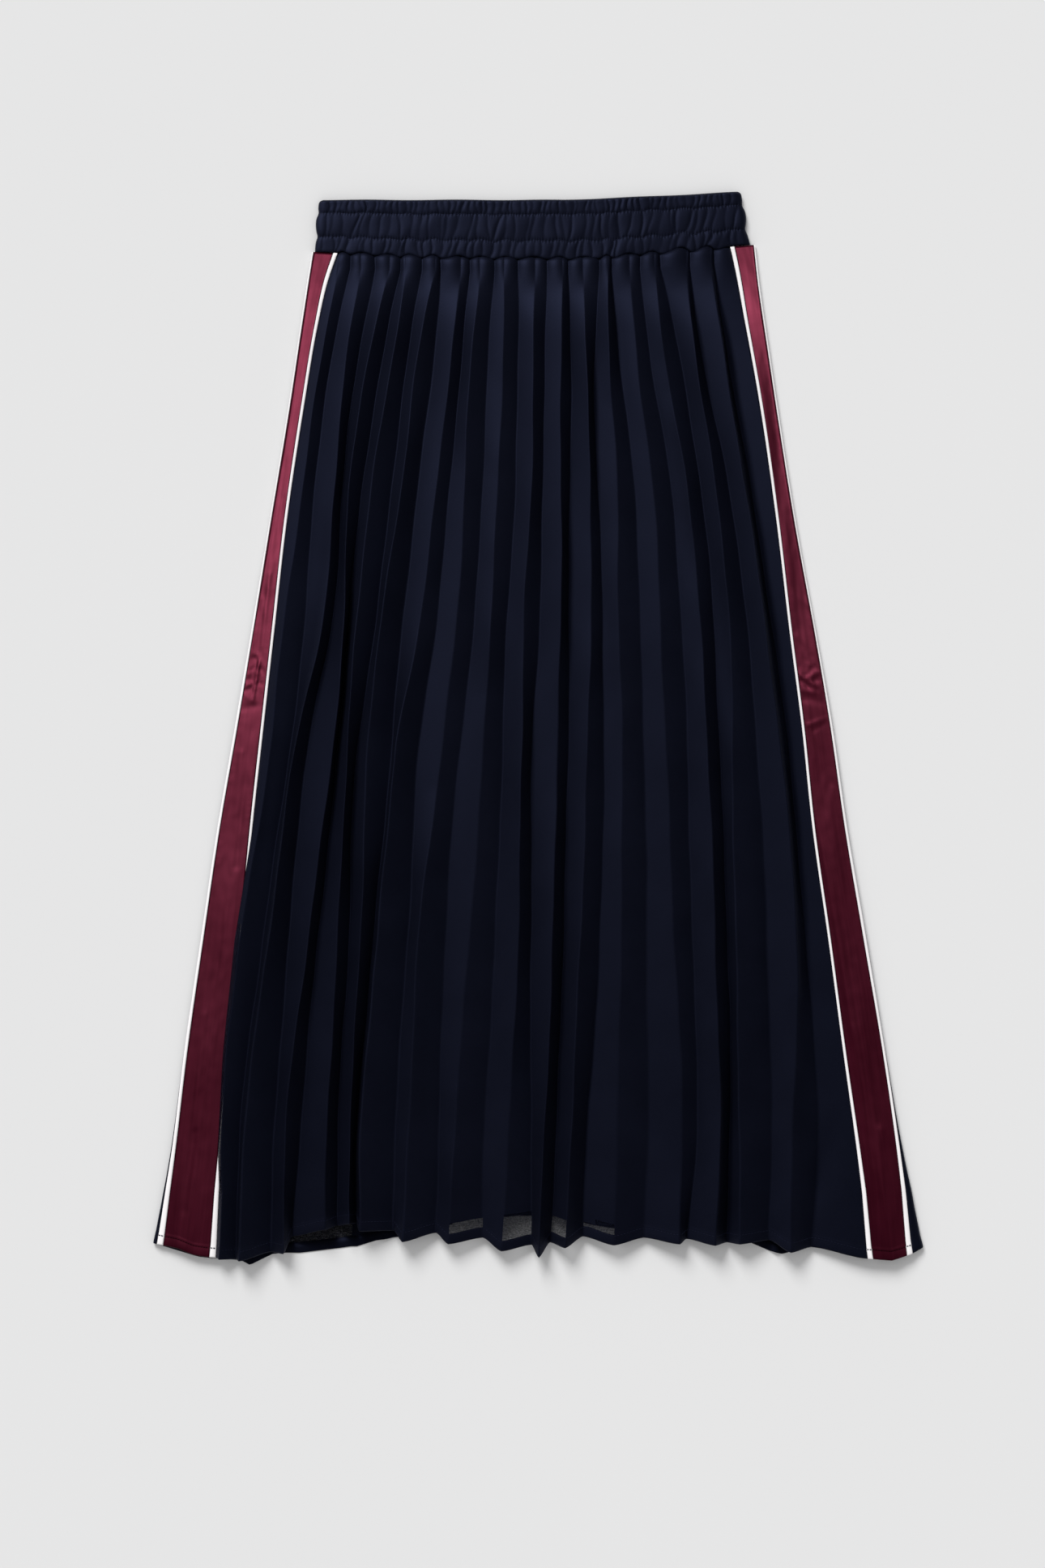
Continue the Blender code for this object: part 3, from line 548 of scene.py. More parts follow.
class SatinProfile:
    """A stripe that is flat but for its puckers, a faint unevenness and the pull of its seams."""

    columns = 33
    BOW = 0.30  # height of a long slow wave
    SEAM_PULL, PULL_REACH = 0.30, 1.8  # how far the seams' stitches move the cloth, and how far from them
    MOTTLE = 0.13
    LONG_FOLD = 0.22  # height of the soft folds that run down the stripe
    FOLD_ROOM = 24.0  # where the stripe is narrower than this, they are lower
    CRUMPLE = 0.30

    def __init__(self, puckers, phase):
        self.puckers = puckers
        self.phase = phase

    def uneven(self, across, drop, wide, long):
        """Smooth unevenness with spots of one width and length."""
        return np.array([noise.noise(Vector((x / wide, drop / long, 7.0 * self.phase))) for x in across])

    def lift(self, share, width, row):
        across = share * width
        drop = row.drop
        lift = self.BOW * np.sin(0.046 * drop + self.phase + 2.0 * share) * eased(drop / 200)
        lift += self.MOTTLE * self.uneven(across, drop, 6.0, 11.0)
        room = min(width / self.FOLD_ROOM, 1.0) ** 2
        lift += self.LONG_FOLD * room * self.uneven(across + 40, drop, 5.0, 95.0)
        pull = np.exp(-across / self.PULL_REACH) + np.exp(-(width - across) / self.PULL_REACH)
        lift += self.SEAM_PULL * pull * self.uneven(np.round(share) * 50, drop, 9.0, 2.4)
        gathered = math.exp(-(((drop - GATHERED_DROP) / GATHERED_REACH) ** 2))
        lift += self.CRUMPLE * gathered * self.uneven(across, drop, 4.5, 3.4)
        for from_drop, from_across, to_drop, to_across, reach, height in self.puckers:
            start = np.array([from_across * width, from_drop])
            run = np.array([to_across * width, to_drop]) - start
            from_start = np.column_stack([across, np.full_like(across, drop)]) - start
            along = np.clip(from_start @ run / (run @ run), 0.0, 1.0)
            away = np.linalg.norm(from_start - along[:, None] * run, axis=1) / reach
            lift += height * (1 - 0.5 * along) * np.exp(-away * away)
        return lift * np.sin(np.pi * np.clip(share, 0.02, 0.98)) ** 0.5


# ---- The back panel ----


class EdgeProfile:
    """The back panel's edge, which lies flat beside its piping."""

    columns = 12

    def lift(self, share, width, row):
        return 0.0


STRIP_PARTS = (0.0, 0.08, 0.3, 0.7, 0.92, 1.0)  # where the columns of a flat strip lie across it
RIDGE_WIDTH = 0.08  # from the top of an inner fold to its shoulders, as a part of the pleats' pitch
SHOULDERS = (0.62, 0.55)  # how high those are, as parts of its rise
INNER_ROOM = 3.0  # between the inner folds and the cloth over them
# The inner folds flatten near the strip that shows: between these places across, and from this drop down
FLATTENED = (BACK_SHOWS[0] - 20, BACK_SHOWS[1] + 8)
FLATTEN_DROP, FLATTEN_RUN = 750.0, 50.0
BACK_CREASES = (
    (-120, 130, 90, 6, -0.6, -0.10), (20, 180, 120, 6, -0.6, 0.0), (90, 300, 140, 7, -0.7, 0.08),
    (-90, 420, 150, 7, -0.7, -0.08), (-200, 560, 140, 8, -0.8, -0.1), (40, 600, 160, 8, -0.8, 0.02),
    (180, 640, 140, 8, -0.8, 0.08), (-60, 740, 90, 8, -0.8, -0.03),
)


def back_points():
    """The back panel's outer face, which lies on the table, with folds that stand up inside."""
    left_edge, right_edge = (side_points(sign, BACK_ROWS, "back_edge", EdgeProfile()) for sign in (-1, 1))
    grid = []
    for j, row in enumerate(BACK_ROWS):
        left, right = SidePath(-1, row.drop), SidePath(1, row.drop)
        start = -(left.outline - BACK_MARGIN)
        pitch = (right.outline - BACK_MARGIN - start) / BACK_PLEATS
        xs, zs, steps = [], [], []
        for i in range(BACK_PLEATS):
            sway = STRIP_SWAY * math.sin(2.3 * i + 0.004 * row.drop)
            step = BACK_HEM_STEP * (-1) ** i
            for part in STRIP_PARTS:
                xs.append(start + pitch * (i + STRIP_START + (STRIP_END - STRIP_START) * part + sway))
                zs.append(0.0)
                steps.append(step * (2 * part - 1))
            if i == BACK_PLEATS - 1:
                break
            ridge = start + pitch * (i + INNER_FOLD + sway)
            path = left if ridge < 0 else right
            room = path.top_height(path.outline - abs(ridge)) - INNER_ROOM
            rise = min(float(back_rise(row.drop)), room)
            if FLATTENED[0] < ridge < FLATTENED[1]:
                rise *= 1.0 - float(eased((row.drop - FLATTEN_DROP) / FLATTEN_RUN))
            xs += [ridge - RIDGE_WIDTH * pitch, ridge, ridge + RIDGE_WIDTH * pitch]
            zs += [SHOULDERS[0] * rise, rise, SHOULDERS[1] * rise]
            steps += [step] * 3
        x, z = np.array(xs), np.array(zs)
        z = z - creased(x, row.drop, BACK_CREASES) * eased(z / 1.5)
        z = np.maximum(z + row.inside - row.proud, 0.0)
        steps = np.where(x > BACK_SHOWS[1], steps, 0.0)
        middle = np.column_stack([x, row.height(x, line(BACK_HEM, x) + steps), z])
        grid.append(np.vstack([left_edge[j][::-1][:-1], middle, right_edge[j][::-1][1:]]))
    return np.array(grid)


# ---- The waistband ----

BAND_COLUMNS = 560
END_CROWDING = 0.12  # how much closer together the columns are at the ends
BAND_ROW_COUNTS = (11, 19, 14)  # rows in each channel, with those at both its ends
BACK_SEEDS = 100  # added to the channels' seeds on the back
BACK_SCALLOP, BACK_GROOVE = 0.3, 0.9  # the back's part of the waves at the seam, and its grooves' depth
ROW_WAVE, LONG_WAVE = 0.35, 0.25  # how far the rows wave up and down
CORNER, CORNER_DOWN = 3.6, 0.07  # the top corners' radius, and the part of the depth that they take
TOP_ROLL, FOOT_ROLL = 0.055, 0.03  # parts of the depth over which the top and bottom edges round over
FOOT_LEAST = 0.45  # how much of the body is left at the waist seam
PILLOW_SHAPE = 2.6  # how flat a channel is between its rows of stitching
FOOT_FULLNESS = 0.92  # the last channel goes in less than the others, at the waist seam
GROOVE_CUT, STITCHED_GROOVE = 1.05, 0.40  # how deep the grooves are, between the stitching and at it
STITCHED_PUFF, TOOTH_CUT = 0.55, 0.9  # how full the cloth is at the stitching, and how deep its tucks are
PUFF_SWELL = 0.14  # how unevenly the band puffs out along it
TOOTH_REACH = 0.035  # part of the depth that the tucks take on each side of the stitching

# The three channels between the stitching: the parts of the depth where they start and end, their number of
# gathers, how far these lean from bottom to top in millimetres, how much that varies, how deep and wide the
# grooves are, and the seed that places them
Channel = namedtuple("Channel", "start end gathers lean lean_spread depth width seed")
CHANNELS = (
    Channel(0.00, 0.25, 66, 0.5, 0.7, 1.00, 1.25, 3),
    Channel(0.25, 0.70, 44, 3.0, 3.2, 1.10, 1.7, 11),
    Channel(0.70, 1.00, 50, 2.4, 1.8, 1.05, 1.5, 29),
)


def gather_grooves(x, down, channel, seed_shift):
    """How deep the grooves between the gathers of one channel lie, from 0 to 1."""
    rng = np.random.default_rng(channel.seed + seed_shift)
    pitch = (BAND_RIGHT[0] - BAND_LEFT[0]) / channel.gathers
    place = (down - channel.start) / (channel.end - channel.start)
    depth = np.zeros_like(x)
    for k in range(channel.gathers + 8):
        jitter, lean = rng.uniform(-0.3, 0.3), rng.normal()
        deep, narrow = rng.uniform(0.45, 1.0), rng.uniform(0.7, 1.5)
        from_top, from_bottom = rng.uniform(0.5, 1.0), rng.uniform(0.5, 1.0)
        through = rng.uniform(0.15, 0.95)
        middle = BAND_LEFT[0] + (k - 3.5 + jitter) * pitch
        leaning = channel.lean + channel.lean_spread * lean
        centre = middle + leaning * (0.5 - place) + 0.7 * np.sin(5.1 * place + k)
        reach = np.maximum(from_top * np.exp(-place / 0.35), from_bottom * np.exp(-(1 - place) / 0.35))
        reach = np.maximum(reach, through)
        near = np.abs(x - centre) / (channel.width * narrow)
        depth = np.maximum(depth, channel.depth * deep * reach * np.exp(-(near**1.3)))
    return np.clip(depth, 0.0, 1.0)


def stitch_teeth(x, down):
    """The small tucks that the stitching pulls in the cloth on both sides of each stitched row."""
    teeth = np.zeros_like(x)
    for number, place in enumerate(STITCH_ROWS):
        near = np.exp(-(((down - place) / TOOTH_REACH) ** 2))
        teeth += near * (0.5 + 0.5 * np.sin(2.45 * x + 1.7 * np.sin(0.31 * x) + 2.0 * number)) ** 2
    return teeth


def band_downs():
    """Rows down the waistband, closest together at its edges and beside its stitching."""
    downs = list(TOP_ROLL * (1 - np.cos(np.linspace(0.0, math.pi / 2, 7))))
    stops = (TOP_ROLL, *STITCH_ROWS, 1.0)
    for start, end, count in zip(stops[:-1], stops[1:], BAND_ROW_COUNTS):
        downs += list(start + (end - start) * (0.5 - 0.5 * np.cos(np.linspace(0, math.pi, count))))[1:]
    return downs


def pillow_of(channel, place):
    """How full one channel is at a place in it. The first is full up to the band's top edge."""
    above, below = max(1 - 2 * place, 0.0), max(2 * place - 1, 0.0)
    if channel is CHANNELS[0]:
        above = 0.0
    if channel is CHANNELS[-1]:
        below *= FOOT_FULLNESS
    return max(1 - max(above, below) ** PILLOW_SHAPE, 0.0)


def band_points(front):
    """The outer face of one half of the waistband, as a grid from its top edge to the waist seam."""
    even = np.linspace(0, 1, BAND_COLUMNS)
    share = (1 - END_CROWDING) * even + END_CROWDING * (0.5 - 0.5 * np.cos(math.pi * even))
    inside = BAND_SPLIT + GAP if front else BAND_SPLIT
    grid = []
    for down in band_downs():
        corner = CORNER * (1 - rounded(down / CORNER_DOWN))
        left = float(curve(BAND_DOWNS, BAND_LEFT, down)) + corner
        right = float(curve(BAND_DOWNS, BAND_RIGHT, down)) - corner
        x = left + (right - left) * share
        top = line(TOP_LINE, x)
        foot = line(SEAM_LINE, x) + seam_scallop(x) * (1.0 if front else BACK_SCALLOP)
        y = top + (foot - top) * down
        y = y + ROW_WAVE * np.sin(0.21 * x) * math.sin(math.pi * down) + LONG_WAVE * np.sin(0.083 * x + 1.0)
        channel = next(c for c in CHANNELS if down <= c.end)
        pillow = pillow_of(channel, (down - channel.start) / (channel.end - channel.start))
        grooves = gather_grooves(x, down, channel, 0 if front else BACK_SEEDS)
        puff = pillow * (1.0 - GROOVE_CUT * grooves)
        puff += STITCHED_PUFF * (1 - pillow) * (1 - TOOTH_CUT * stitch_teeth(x, down))
        puff *= 1 - PUFF_SWELL + PUFF_SWELL * np.sin(0.09 * x + 9.0 * down)
        puff -= STITCHED_GROOVE * grooves * (1 - pillow)
        foot_roll = FOOT_LEAST + (1 - FOOT_LEAST) * rounded((1 - down) / FOOT_ROLL)
        ends = rounded(np.minimum(x - left, right - x) / BAND_EDGE)
        body = ends * min(rounded(down / TOP_ROLL), foot_roll)
        if front:
            z = inside + body * (BAND_BODY + BAND_PUFF * puff)
        else:
            z = inside - body * (inside - np.maximum(0.0, BACK_GROOVE - BACK_GROOVE * puff))
        grid.append(np.column_stack([x, y, z]))
    return np.array(grid)


# ---- Making meshes ----


def placed(points):
    """Points in millimetres from the waist's centre line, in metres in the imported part's frame."""
    return (np.asarray(points, float) + (0.0, CENTRING, 0.0)) * MM


def mesh_from(name, work):
    mesh = bpy.data.meshes.new(name)
    work.to_mesh(mesh)
    work.free()
    return mesh


def added(name, data):
    """An object of this data, in the scene."""
    thing = bpy.data.objects.new(name, data)
    bpy.context.scene.collection.objects.link(thing)
    return thing


def lengths_along(places, axis):
    """How far along the cloth each place lies from the first one of its row or column."""
    steps = np.linalg.norm(np.diff(places, axis=axis), axis=2)
    return np.insert(np.cumsum(steps, axis=axis), 0, 0.0, axis=axis)


def cloth_piece(name, points, thickness, materials, face_material=None, faces_down=False):
    """A grid of cloth moved to `points`, (rows, columns, 3), with a thin wall and a map of its weave.

    `face_material` gives a material index for each face of the grid, as a (rows - 1, columns - 1) array.
    """
    count_down, count_across = points.shape[:2]
    cloth = bmesh.new()
    bmesh.ops.create_grid(cloth, x_segments=count_across - 1, y_segments=count_down - 1, size=1.0)
    mesh = mesh_from(name, cloth)
    flat = np.zeros(len(mesh.vertices) * 3)
    mesh.vertices.foreach_get("co", flat)
    flat = flat.reshape(-1, 3)
    column = np.rint((flat[:, 0] + 1) / 2 * (count_across - 1)).astype(int)
    row = np.rint((1 - flat[:, 1]) / 2 * (count_down - 1)).astype(int)
    places = placed(points)
    mesh.vertices.foreach_set("co", places[row, column].ravel())

    across, down = lengths_along(places, 1), lengths_along(places, 0)
    across -= across[:, -1:] / 2
    corners = np.zeros(len(mesh.loops), dtype=np.int32)
    mesh.loops.foreach_get("vertex_index", corners)
    weave = mesh.uv_layers.new(name="weave")
    on_cloth = np.column_stack([across[row, column], -down[row, column]])
    weave.data.foreach_set("uv", on_cloth[corners].ravel())

    for material in materials:
        mesh.materials.append(material)
    if face_material is not None:
        sides = corners.reshape(-1, 4)
        mesh.polygons.foreach_set("material_index", face_material[row[sides].min(1), column[sides].min(1)])
    mesh.polygons.foreach_set("use_smooth", np.ones(len(mesh.polygons), dtype=bool))
    if faces_down:
        mesh.flip_normals()
    mesh.update()
    piece = added(name, mesh)
    wall = piece.modifiers.new("wall", "SOLIDIFY")
    wall.thickness = thickness
    wall.offset = -1.0
    return piece


def sewn_run(path, normals, pitch, length):
    """Places for stitches along a path in metres: (middle, direction, up) for each."""
    reach = np.concatenate([[0.0], np.cumsum(np.linalg.norm(np.diff(path, axis=0), axis=1))])

    def on(values, at):
        return np.array([np.interp(at, reach, values[:, k]) for k in range(3)])

    stitches = []
    for at in np.arange(pitch / 2, reach[-1] - pitch / 2, pitch):
        start, end = on(path, at - length / 2), on(path, at + length / 2)
        stitches.append(((start + end) / 2, end - start, on(normals, at)))
    return stitches


THREAD_PROUD = 0.25  # how far a thread's middle lies above the cloth, as a part of its thickness


def stitching(name, stitches, length, thread, material):
    """One mesh of short threads: slim rounded beads that lie along the seam and dip in at their ends."""
    sewing = bmesh.new()
    for middle, direction, up in stitches:
        along = Vector(direction).normalized()
        out = Vector(up)
        out = (out - along * out.dot(along)).normalized()
        side = out.cross(along)
        turn = Matrix((along, side, out)).transposed().to_4x4()
        size = Matrix.Diagonal((length / 2, thread / 2, thread / 2, 1.0))
        place = Matrix.Translation(Vector(middle) + out * THREAD_PROUD * thread)
        bead = place @ turn @ size
        bmesh.ops.create_uvsphere(sewing, u_segments=6, v_segments=4, radius=1.0, matrix=bead)
    for face in sewing.faces:
        face.smooth = True
    mesh = mesh_from(name, sewing)
    mesh.materials.append(material)
    return added(name, mesh)


def grid_normals(places):
    """Unit normals at each point of a grid of places in metres, up for a grid that runs to +X and to -Y."""
    across = np.gradient(places, axis=1)
    down = np.gradient(places, axis=0)
    normals = np.cross(down, across)
    return normals / np.maximum(np.linalg.norm(normals, axis=2)[:, :, None], 1e-12)


# ---- Finishes ----


def fill(tree, node, values):
    """Sets a node's inputs, by name or number. A value may be another node's output."""
    for key, value in values.items():
        if isinstance(value, bpy.types.NodeSocket):
            tree.links.new(value, node.inputs[key])
        else:
            node.inputs[key].default_value = value


def add_node(tree, kind, values=None, **settings):
    """A shader node of one kind, with its settings and the values of its inputs."""
    node = tree.nodes.new("ShaderNode" + kind)
    for key, value in settings.items():
        setattr(node, key, value)
    fill(tree, node, values or {})
    return node


def noise_at(tree, place, scale, detail, roughness=0.5):
    values = {"Vector": place, "Scale": scale, "Detail": detail, "Roughness": roughness}
    return add_node(tree, "TexNoise", values).outputs["Fac"]


def spots(tree, weave, across, down, detail):
    """Noise with so many spots to the metre across the cloth and down it."""
    place = add_node(tree, "Mapping", {"Vector": weave, "Scale": (across, down, 1.0)}).outputs["Vector"]
    return noise_at(tree, place, 1.0, detail)


def blend(tree, first, second, share):
    """A share of one value and the rest of another."""
    rest = add_node(tree, "Math", {0: second, 1: 1 - share}, operation="MULTIPLY").outputs[0]
    return add_node(tree, "Math", {0: first, 1: share, 2: rest}, operation="MULTIPLY_ADD").outputs[0]


def remapped(tree, value, start, end, low=0.0, high=1.0):
    values = {"Value": value, "From Min": start, "From Max": end, "To Min": low, "To Max": high}
    return add_node(tree, "MapRange", values).outputs["Result"]


def shade(colour, by):
    return tuple(min(channel * by, 1.0) for channel in colour)


def toned(tree, factor, colour, dark, light):
    """A colour between a darker and a lighter shade of one, by a factor."""
    values = {"Factor": factor, 6: (*shade(colour, dark), 1.0), 7: (*shade(colour, light), 1.0)}
    return add_node(tree, "Mix", values, data_type="RGBA").outputs[2]


def bumped(tree, height, strength, distance):
    values = {"Height": height, "Strength": strength, "Distance": distance}
    return add_node(tree, "Bump", values).outputs["Normal"]


def weave_map(tree):
    return add_node(tree, "UVMap", uv_map="weave").outputs["UV"]


def object_place(tree):
    return add_node(tree, "TexCoord").outputs["Object"]


def crepe_grain_group():
    """The crinkled surface of crepe: fine twisted yarns across and down, broken up by the crinkle."""
    if "crepe_grain" in bpy.data.node_groups:
        return bpy.data.node_groups["crepe_grain"]
    group = bpy.data.node_groups.new("crepe_grain", "ShaderNodeTree")
    for label, kind in (("Weave", "Vector"), ("Yarns per metre", "Float")):
        group.interface.new_socket(name=label, in_out="INPUT", socket_type="NodeSocket" + kind)
    for label in ("Height", "Tone"):
        group.interface.new_socket(name=label, in_out="OUTPUT", socket_type="NodeSocketFloat")
    given, result = group.nodes.new("NodeGroupInput").outputs, group.nodes.new("NodeGroupOutput")
    values = {0: given["Weave"], "Scale": given["Yarns per metre"]}
    scaled = add_node(group, "VectorMath", values, operation="SCALE").outputs[0]
    crinkle = noise_at(group, scaled, 0.55, 3.0, 0.65)
    values = {0: scaled, 1: (0.25, 1.0, 1.0)}
    drawn_out = add_node(group, "VectorMath", values, operation="MULTIPLY").outputs[0]
    height = blend(group, crinkle, noise_at(group, drawn_out, 0.7, 2.0), 0.6)
    tone = blend(group, height, noise_at(group, given["Weave"], 22.0, 3.0, 0.55), 0.55)
    fill(group, result, {"Height": height, "Tone": tone})
    return group


def grain(tree, yarns):
    """The height and the tone of crepe with so many yarns to the metre."""
    values = {"Weave": weave_map(tree), "Yarns per metre": yarns}
    node = add_node(tree, "Group", values, node_tree=crepe_grain_group())
    return node.outputs["Height"], node.outputs["Tone"]


def finish(name, look, *made_of):
    """The material of this name, made when it is first asked for. `look` gives its shader's inputs."""
    if name not in bpy.data.materials:
        bpy.data.materials.new(name).use_nodes = True
        tree = bpy.data.materials[name].node_tree
        fill(tree, tree.nodes["Principled BSDF"], look(tree, *made_of))
    return bpy.data.materials[name]


SHEER_OPACITY = 0.47  # one layer over the ground
COVER_OPACITY = 0.66  # one layer over other cloth, or in deep shade
PORES = 0.22  # how far the opacity varies between the yarns
CREPE_YARNS, PIPING_YARNS = 1500.0, 2200.0  # to the metre


def crepe_look(tree, navy, opacity):
    """Matt navy crepe. Where a single layer shows it is sheer, with open pores between the yarns."""
    height, tone = grain(tree, CREPE_YARNS)
    values = {
        "Base Color": toned(tree, remapped(tree, tone, 0.35, 0.65), navy, 0.80, 1.22),
        "Roughness": 0.62,
        "Specular IOR Level": 0.50,
        "Specular Tint": (0.42, 0.50, 1.0, 1.0),
        "Normal": bumped(tree, height, 0.35, 0.00025),
    }
    if opacity < 1.0:
        values["Alpha"] = remapped(tree, height, 0.3, 0.7, opacity - PORES, min(opacity + PORES, 1.0))
    return values


def satin_look(tree, burgundy):
    """Burgundy satin: long smooth floats with a broad highlight, and faint streaks along the stripe."""
    weave = weave_map(tree)
    streaks, clouds = spots(tree, weave, 420.0, 9.0, 3.0), spots(tree, weave, 60.0, 24.0, 2.0)
    tone = remapped(tree, blend(tree, streaks, clouds, 0.5), 0.35, 0.65)
    return {
        "Base Color": toned(tree, tone, burgundy, 0.84, 1.16),
        "Roughness": remapped(tree, tone, 0.0, 1.0, 0.36, 0.43),
        "Specular IOR Level": 0.42,
        "Specular Tint": (1.0, 0.165, 0.30, 1.0),
        "Normal": bumped(tree, spots(tree, weave, 2600.0, 500.0, 2.0), 0.12, 0.0001),
    }


def piping_look(tree, white):
    """White piping: a smooth bias strip, faintly ribbed by the cord's twist."""
    height, tone = grain(tree, PIPING_YARNS)
    return {
        "Base Color": toned(tree, tone, white, 0.90, 1.08),
        "Roughness": 0.55,
        "Specular IOR Level": 0.1,
        "Normal": bumped(tree, height, 0.2, 0.0001),
    }


def thread_look(tree, colour):
    """Twisted sewing thread with a soft lustre."""
    twist = noise_at(tree, object_place(tree), 2400.0, 1.0)
    return {
        "Base Color": toned(tree, twist, colour, 0.75, 1.3),
        "Roughness": 0.5,
        "Specular IOR Level": 0.08,
        "Normal": bumped(tree, twist, 0.3, 0.0001),
    }


def floor_look(tree, colour):
    """A pale matt floor that is hardly clouded."""
    tone = noise_at(tree, object_place(tree), 3.0, 2.0)
    return {
        "Base Color": toned(tree, tone, colour, 0.995, 1.005),
        "Roughness": 0.9,
        "Specular IOR Level": 0.0,
    }


# ---- What a user would change ----


def length_of(name, description, default):
    return FloatProperty(name=name, description=description, default=default, unit="LENGTH")


def colour_of(name, what, default):
    description = "Colour of the " + what
    return FloatVectorProperty(name=name, description=description, subtype="COLOR", default=default)


class SkirtSizes(bpy.types.PropertyGroup):
    crepe: length_of("Crepe", "Thickness of the crepe", 0.00035)
    satin: length_of("Satin", "Thickness of the satin", 0.0003)
    piping: length_of("Piping", "Thickness of the piping's strip", 0.0004)
    stitch: length_of("Stitch", "Length of a stitch", 0.0021)
    stitch_pitch: length_of("Pitch", "From stitch to stitch", 0.0028)
    thread: length_of("Thread", "Thickness of the thread", 0.0004)
    floor: length_of("Floor", "Width of the floor", 40.0)
    camera_height: length_of("Camera", "Height of the camera", 5.5)


class SkirtColours(bpy.types.PropertyGroup):
    navy: colour_of("Navy", "crepe", (0.0028, 0.0033, 0.0073))
    burgundy: colour_of("Burgundy", "satin", (0.026, 0.0013, 0.0056))
    piping: colour_of("Piping", "piping", (0.99, 0.925, 0.94))
    floor: colour_of("Floor", "floor", (0.805, 0.805, 0.805))


class Step(bpy.types.Operator):
    """A step of the skirt's making"""

    bl_options = {"REGISTER", "UNDO"}

    @property
    def sizes(self):
        return bpy.context.scene.skirt_sizes

    @property
    def colours(self):
        return bpy.context.scene.skirt_colours

    def cloth_materials(self):
        opacities = (("crepe", 1.0), ("sheer_crepe", SHEER_OPACITY), ("cover_crepe", COVER_OPACITY))
        return [finish(name, crepe_look, self.colours.navy, opacity) for name, opacity in opacities]


# The cuts of the cloth that shows. A panel's is its facets laid side by side. The waistband's must stretch
# over the hips, so each half is cut to half of them and gathered to the elastic.
CUT_LENGTH = HEM_DROP + HEM_TURN


def stripe_cut(sign):
    """A stripe's flat width and length in metres, and its area, from its widths down the side."""
    widths = [SidePath(sign, drop).widths[1] for drop in SIDE_DROPS]
    strips = (np.array(widths[1:]) + widths[:-1]) / 2 * np.diff(SIDE_DROPS)
    area = float(strips.sum()) + widths[-1] * HEM_TURN
    return (max(widths) * MM, CUT_LENGTH * MM), area * MM * MM


def dressed(piece, node):
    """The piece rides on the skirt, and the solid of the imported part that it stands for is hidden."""
    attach(piece, BODY)
    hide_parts(node)


SHEER_COVER = (560.0, 788.0)  # drops where the front panel's edge lies over the piping in one layer
SHEER_FACETS = (15, 17, 20, 22)  # facets that lie flat on the ground there, and not over the next one
ALONE_MARGIN = 1.5  # from so far above the back's hem, the front counts as lying alone
STRIP_MARGIN, STRIP_LEVEL = 5.0, 3.0  # the back's strip reaches so far under the front, and lies below this


def face_middles(points):
    return (points[:-1, :-1] + points[1:, 1:] + points[:-1, 1:] + points[1:, :-1]) / 4


def above_hem_band(rows):
    return np.array([row.above is None or row.above > HEM_TURN for row in rows[:-1]])[:, None]


def front_sheer(points, rows):
    """The front panel's faces that lie alone over the ground (1), or over the left piping (2)."""
    middles = face_middles(points)
    alone = middles[:, :, 1] < line(BACK_HEM, middles[:, :, 0]) + ALONE_MARGIN
    drops = np.array([row.drop for row in rows[:-1]])[:, None]
    facet = np.arange(points.shape[1] - 1)[None, :] // len(ACROSS_FACET)
    cover = (drops > SHEER_COVER[0]) & (drops < SHEER_COVER[1]) & (facet == 0)
    flat = np.isin(facet, SHEER_FACETS)
    return np.where(cover, 2, alone & flat & above_hem_band(rows)).astype(np.int32)


def back_sheer(points, rows):
    """The back panel's faces that show under the front's hem (2)."""
    middles = face_middles(points)
    x, y = middles[:, :, 0], middles[:, :, 1]
    front_hem = np.interp(x, fold_places(HEM_DROP)[0], FRONT_HEMS)
    shows = (x > BACK_SHOWS[0]) & (x < BACK_SHOWS[1]) & (y < front_hem + STRIP_MARGIN)
    shows &= middles[:, :, 2] < STRIP_LEVEL
    return 2 * (shows & above_hem_band(rows)).astype(np.int32)


class SKIRT_OT_front_panel(Step):
    """Pleats the front panel"""

    bl_idname = "skirt.front_panel"
    bl_label = "Front panel"

    def execute(self, context):
        points = front_points()
        faces = front_sheer(points, FRONT_ROWS)
        piece = cloth_piece("front_panel_cloth", points, self.sizes.crepe, self.cloth_materials(), faces)
        dressed(piece, "front_panel")
        return {"FINISHED"}


class SKIRT_OT_back_panel(Step):
    """Lays out the back panel"""

    bl_idname = "skirt.back_panel"
    bl_label = "Back panel"

    def execute(self, context):
        points = back_points()
        faces = back_sheer(points, BACK_ROWS)
        materials = self.cloth_materials()
        piece = cloth_piece("back_panel_cloth", points, self.sizes.crepe, materials, faces, faces_down=True)
        dressed(piece, "back_panel")
        return {"FINISHED"}


# Each side's name, its sign in X, its satin's puckers, and what sets its unevenness apart
SIDES = (("left", -1, LEFT_PUCKERS, 0.4), ("right", 1, RIGHT_PUCKERS, 2.3))


class SKIRT_OT_side_stripes(Step):
    """Sews in the satin stripes and their piping"""

    bl_idname = "skirt.side_stripes"
    bl_label = "Side stripes"

    def execute(self, context):
        white = finish("piping", piping_look, self.colours.piping)
        satin = finish("satin", satin_look, self.colours.burgundy)
        for side, sign, puckers, phase in SIDES:
            for part, place in ((0, "front"), (2, "back")):
                points = side_points(sign, PIPING_ROWS, part, PipingProfile())
                name = f"piping_{side}_{place}"
                cord = cloth_piece(name + "_strip", points, self.sizes.piping, [white])
                dressed(cord, name)
            points = side_points(sign, SATIN_ROWS, 1, SatinProfile(puckers, phase))
            stripe = cloth_piece(f"stripe_{side}_satin", points, self.sizes.satin, [satin])
            dressed(stripe, f"stripe_{side}")
            flat, area = stripe_cut(sign)
        return {"FINISHED"}


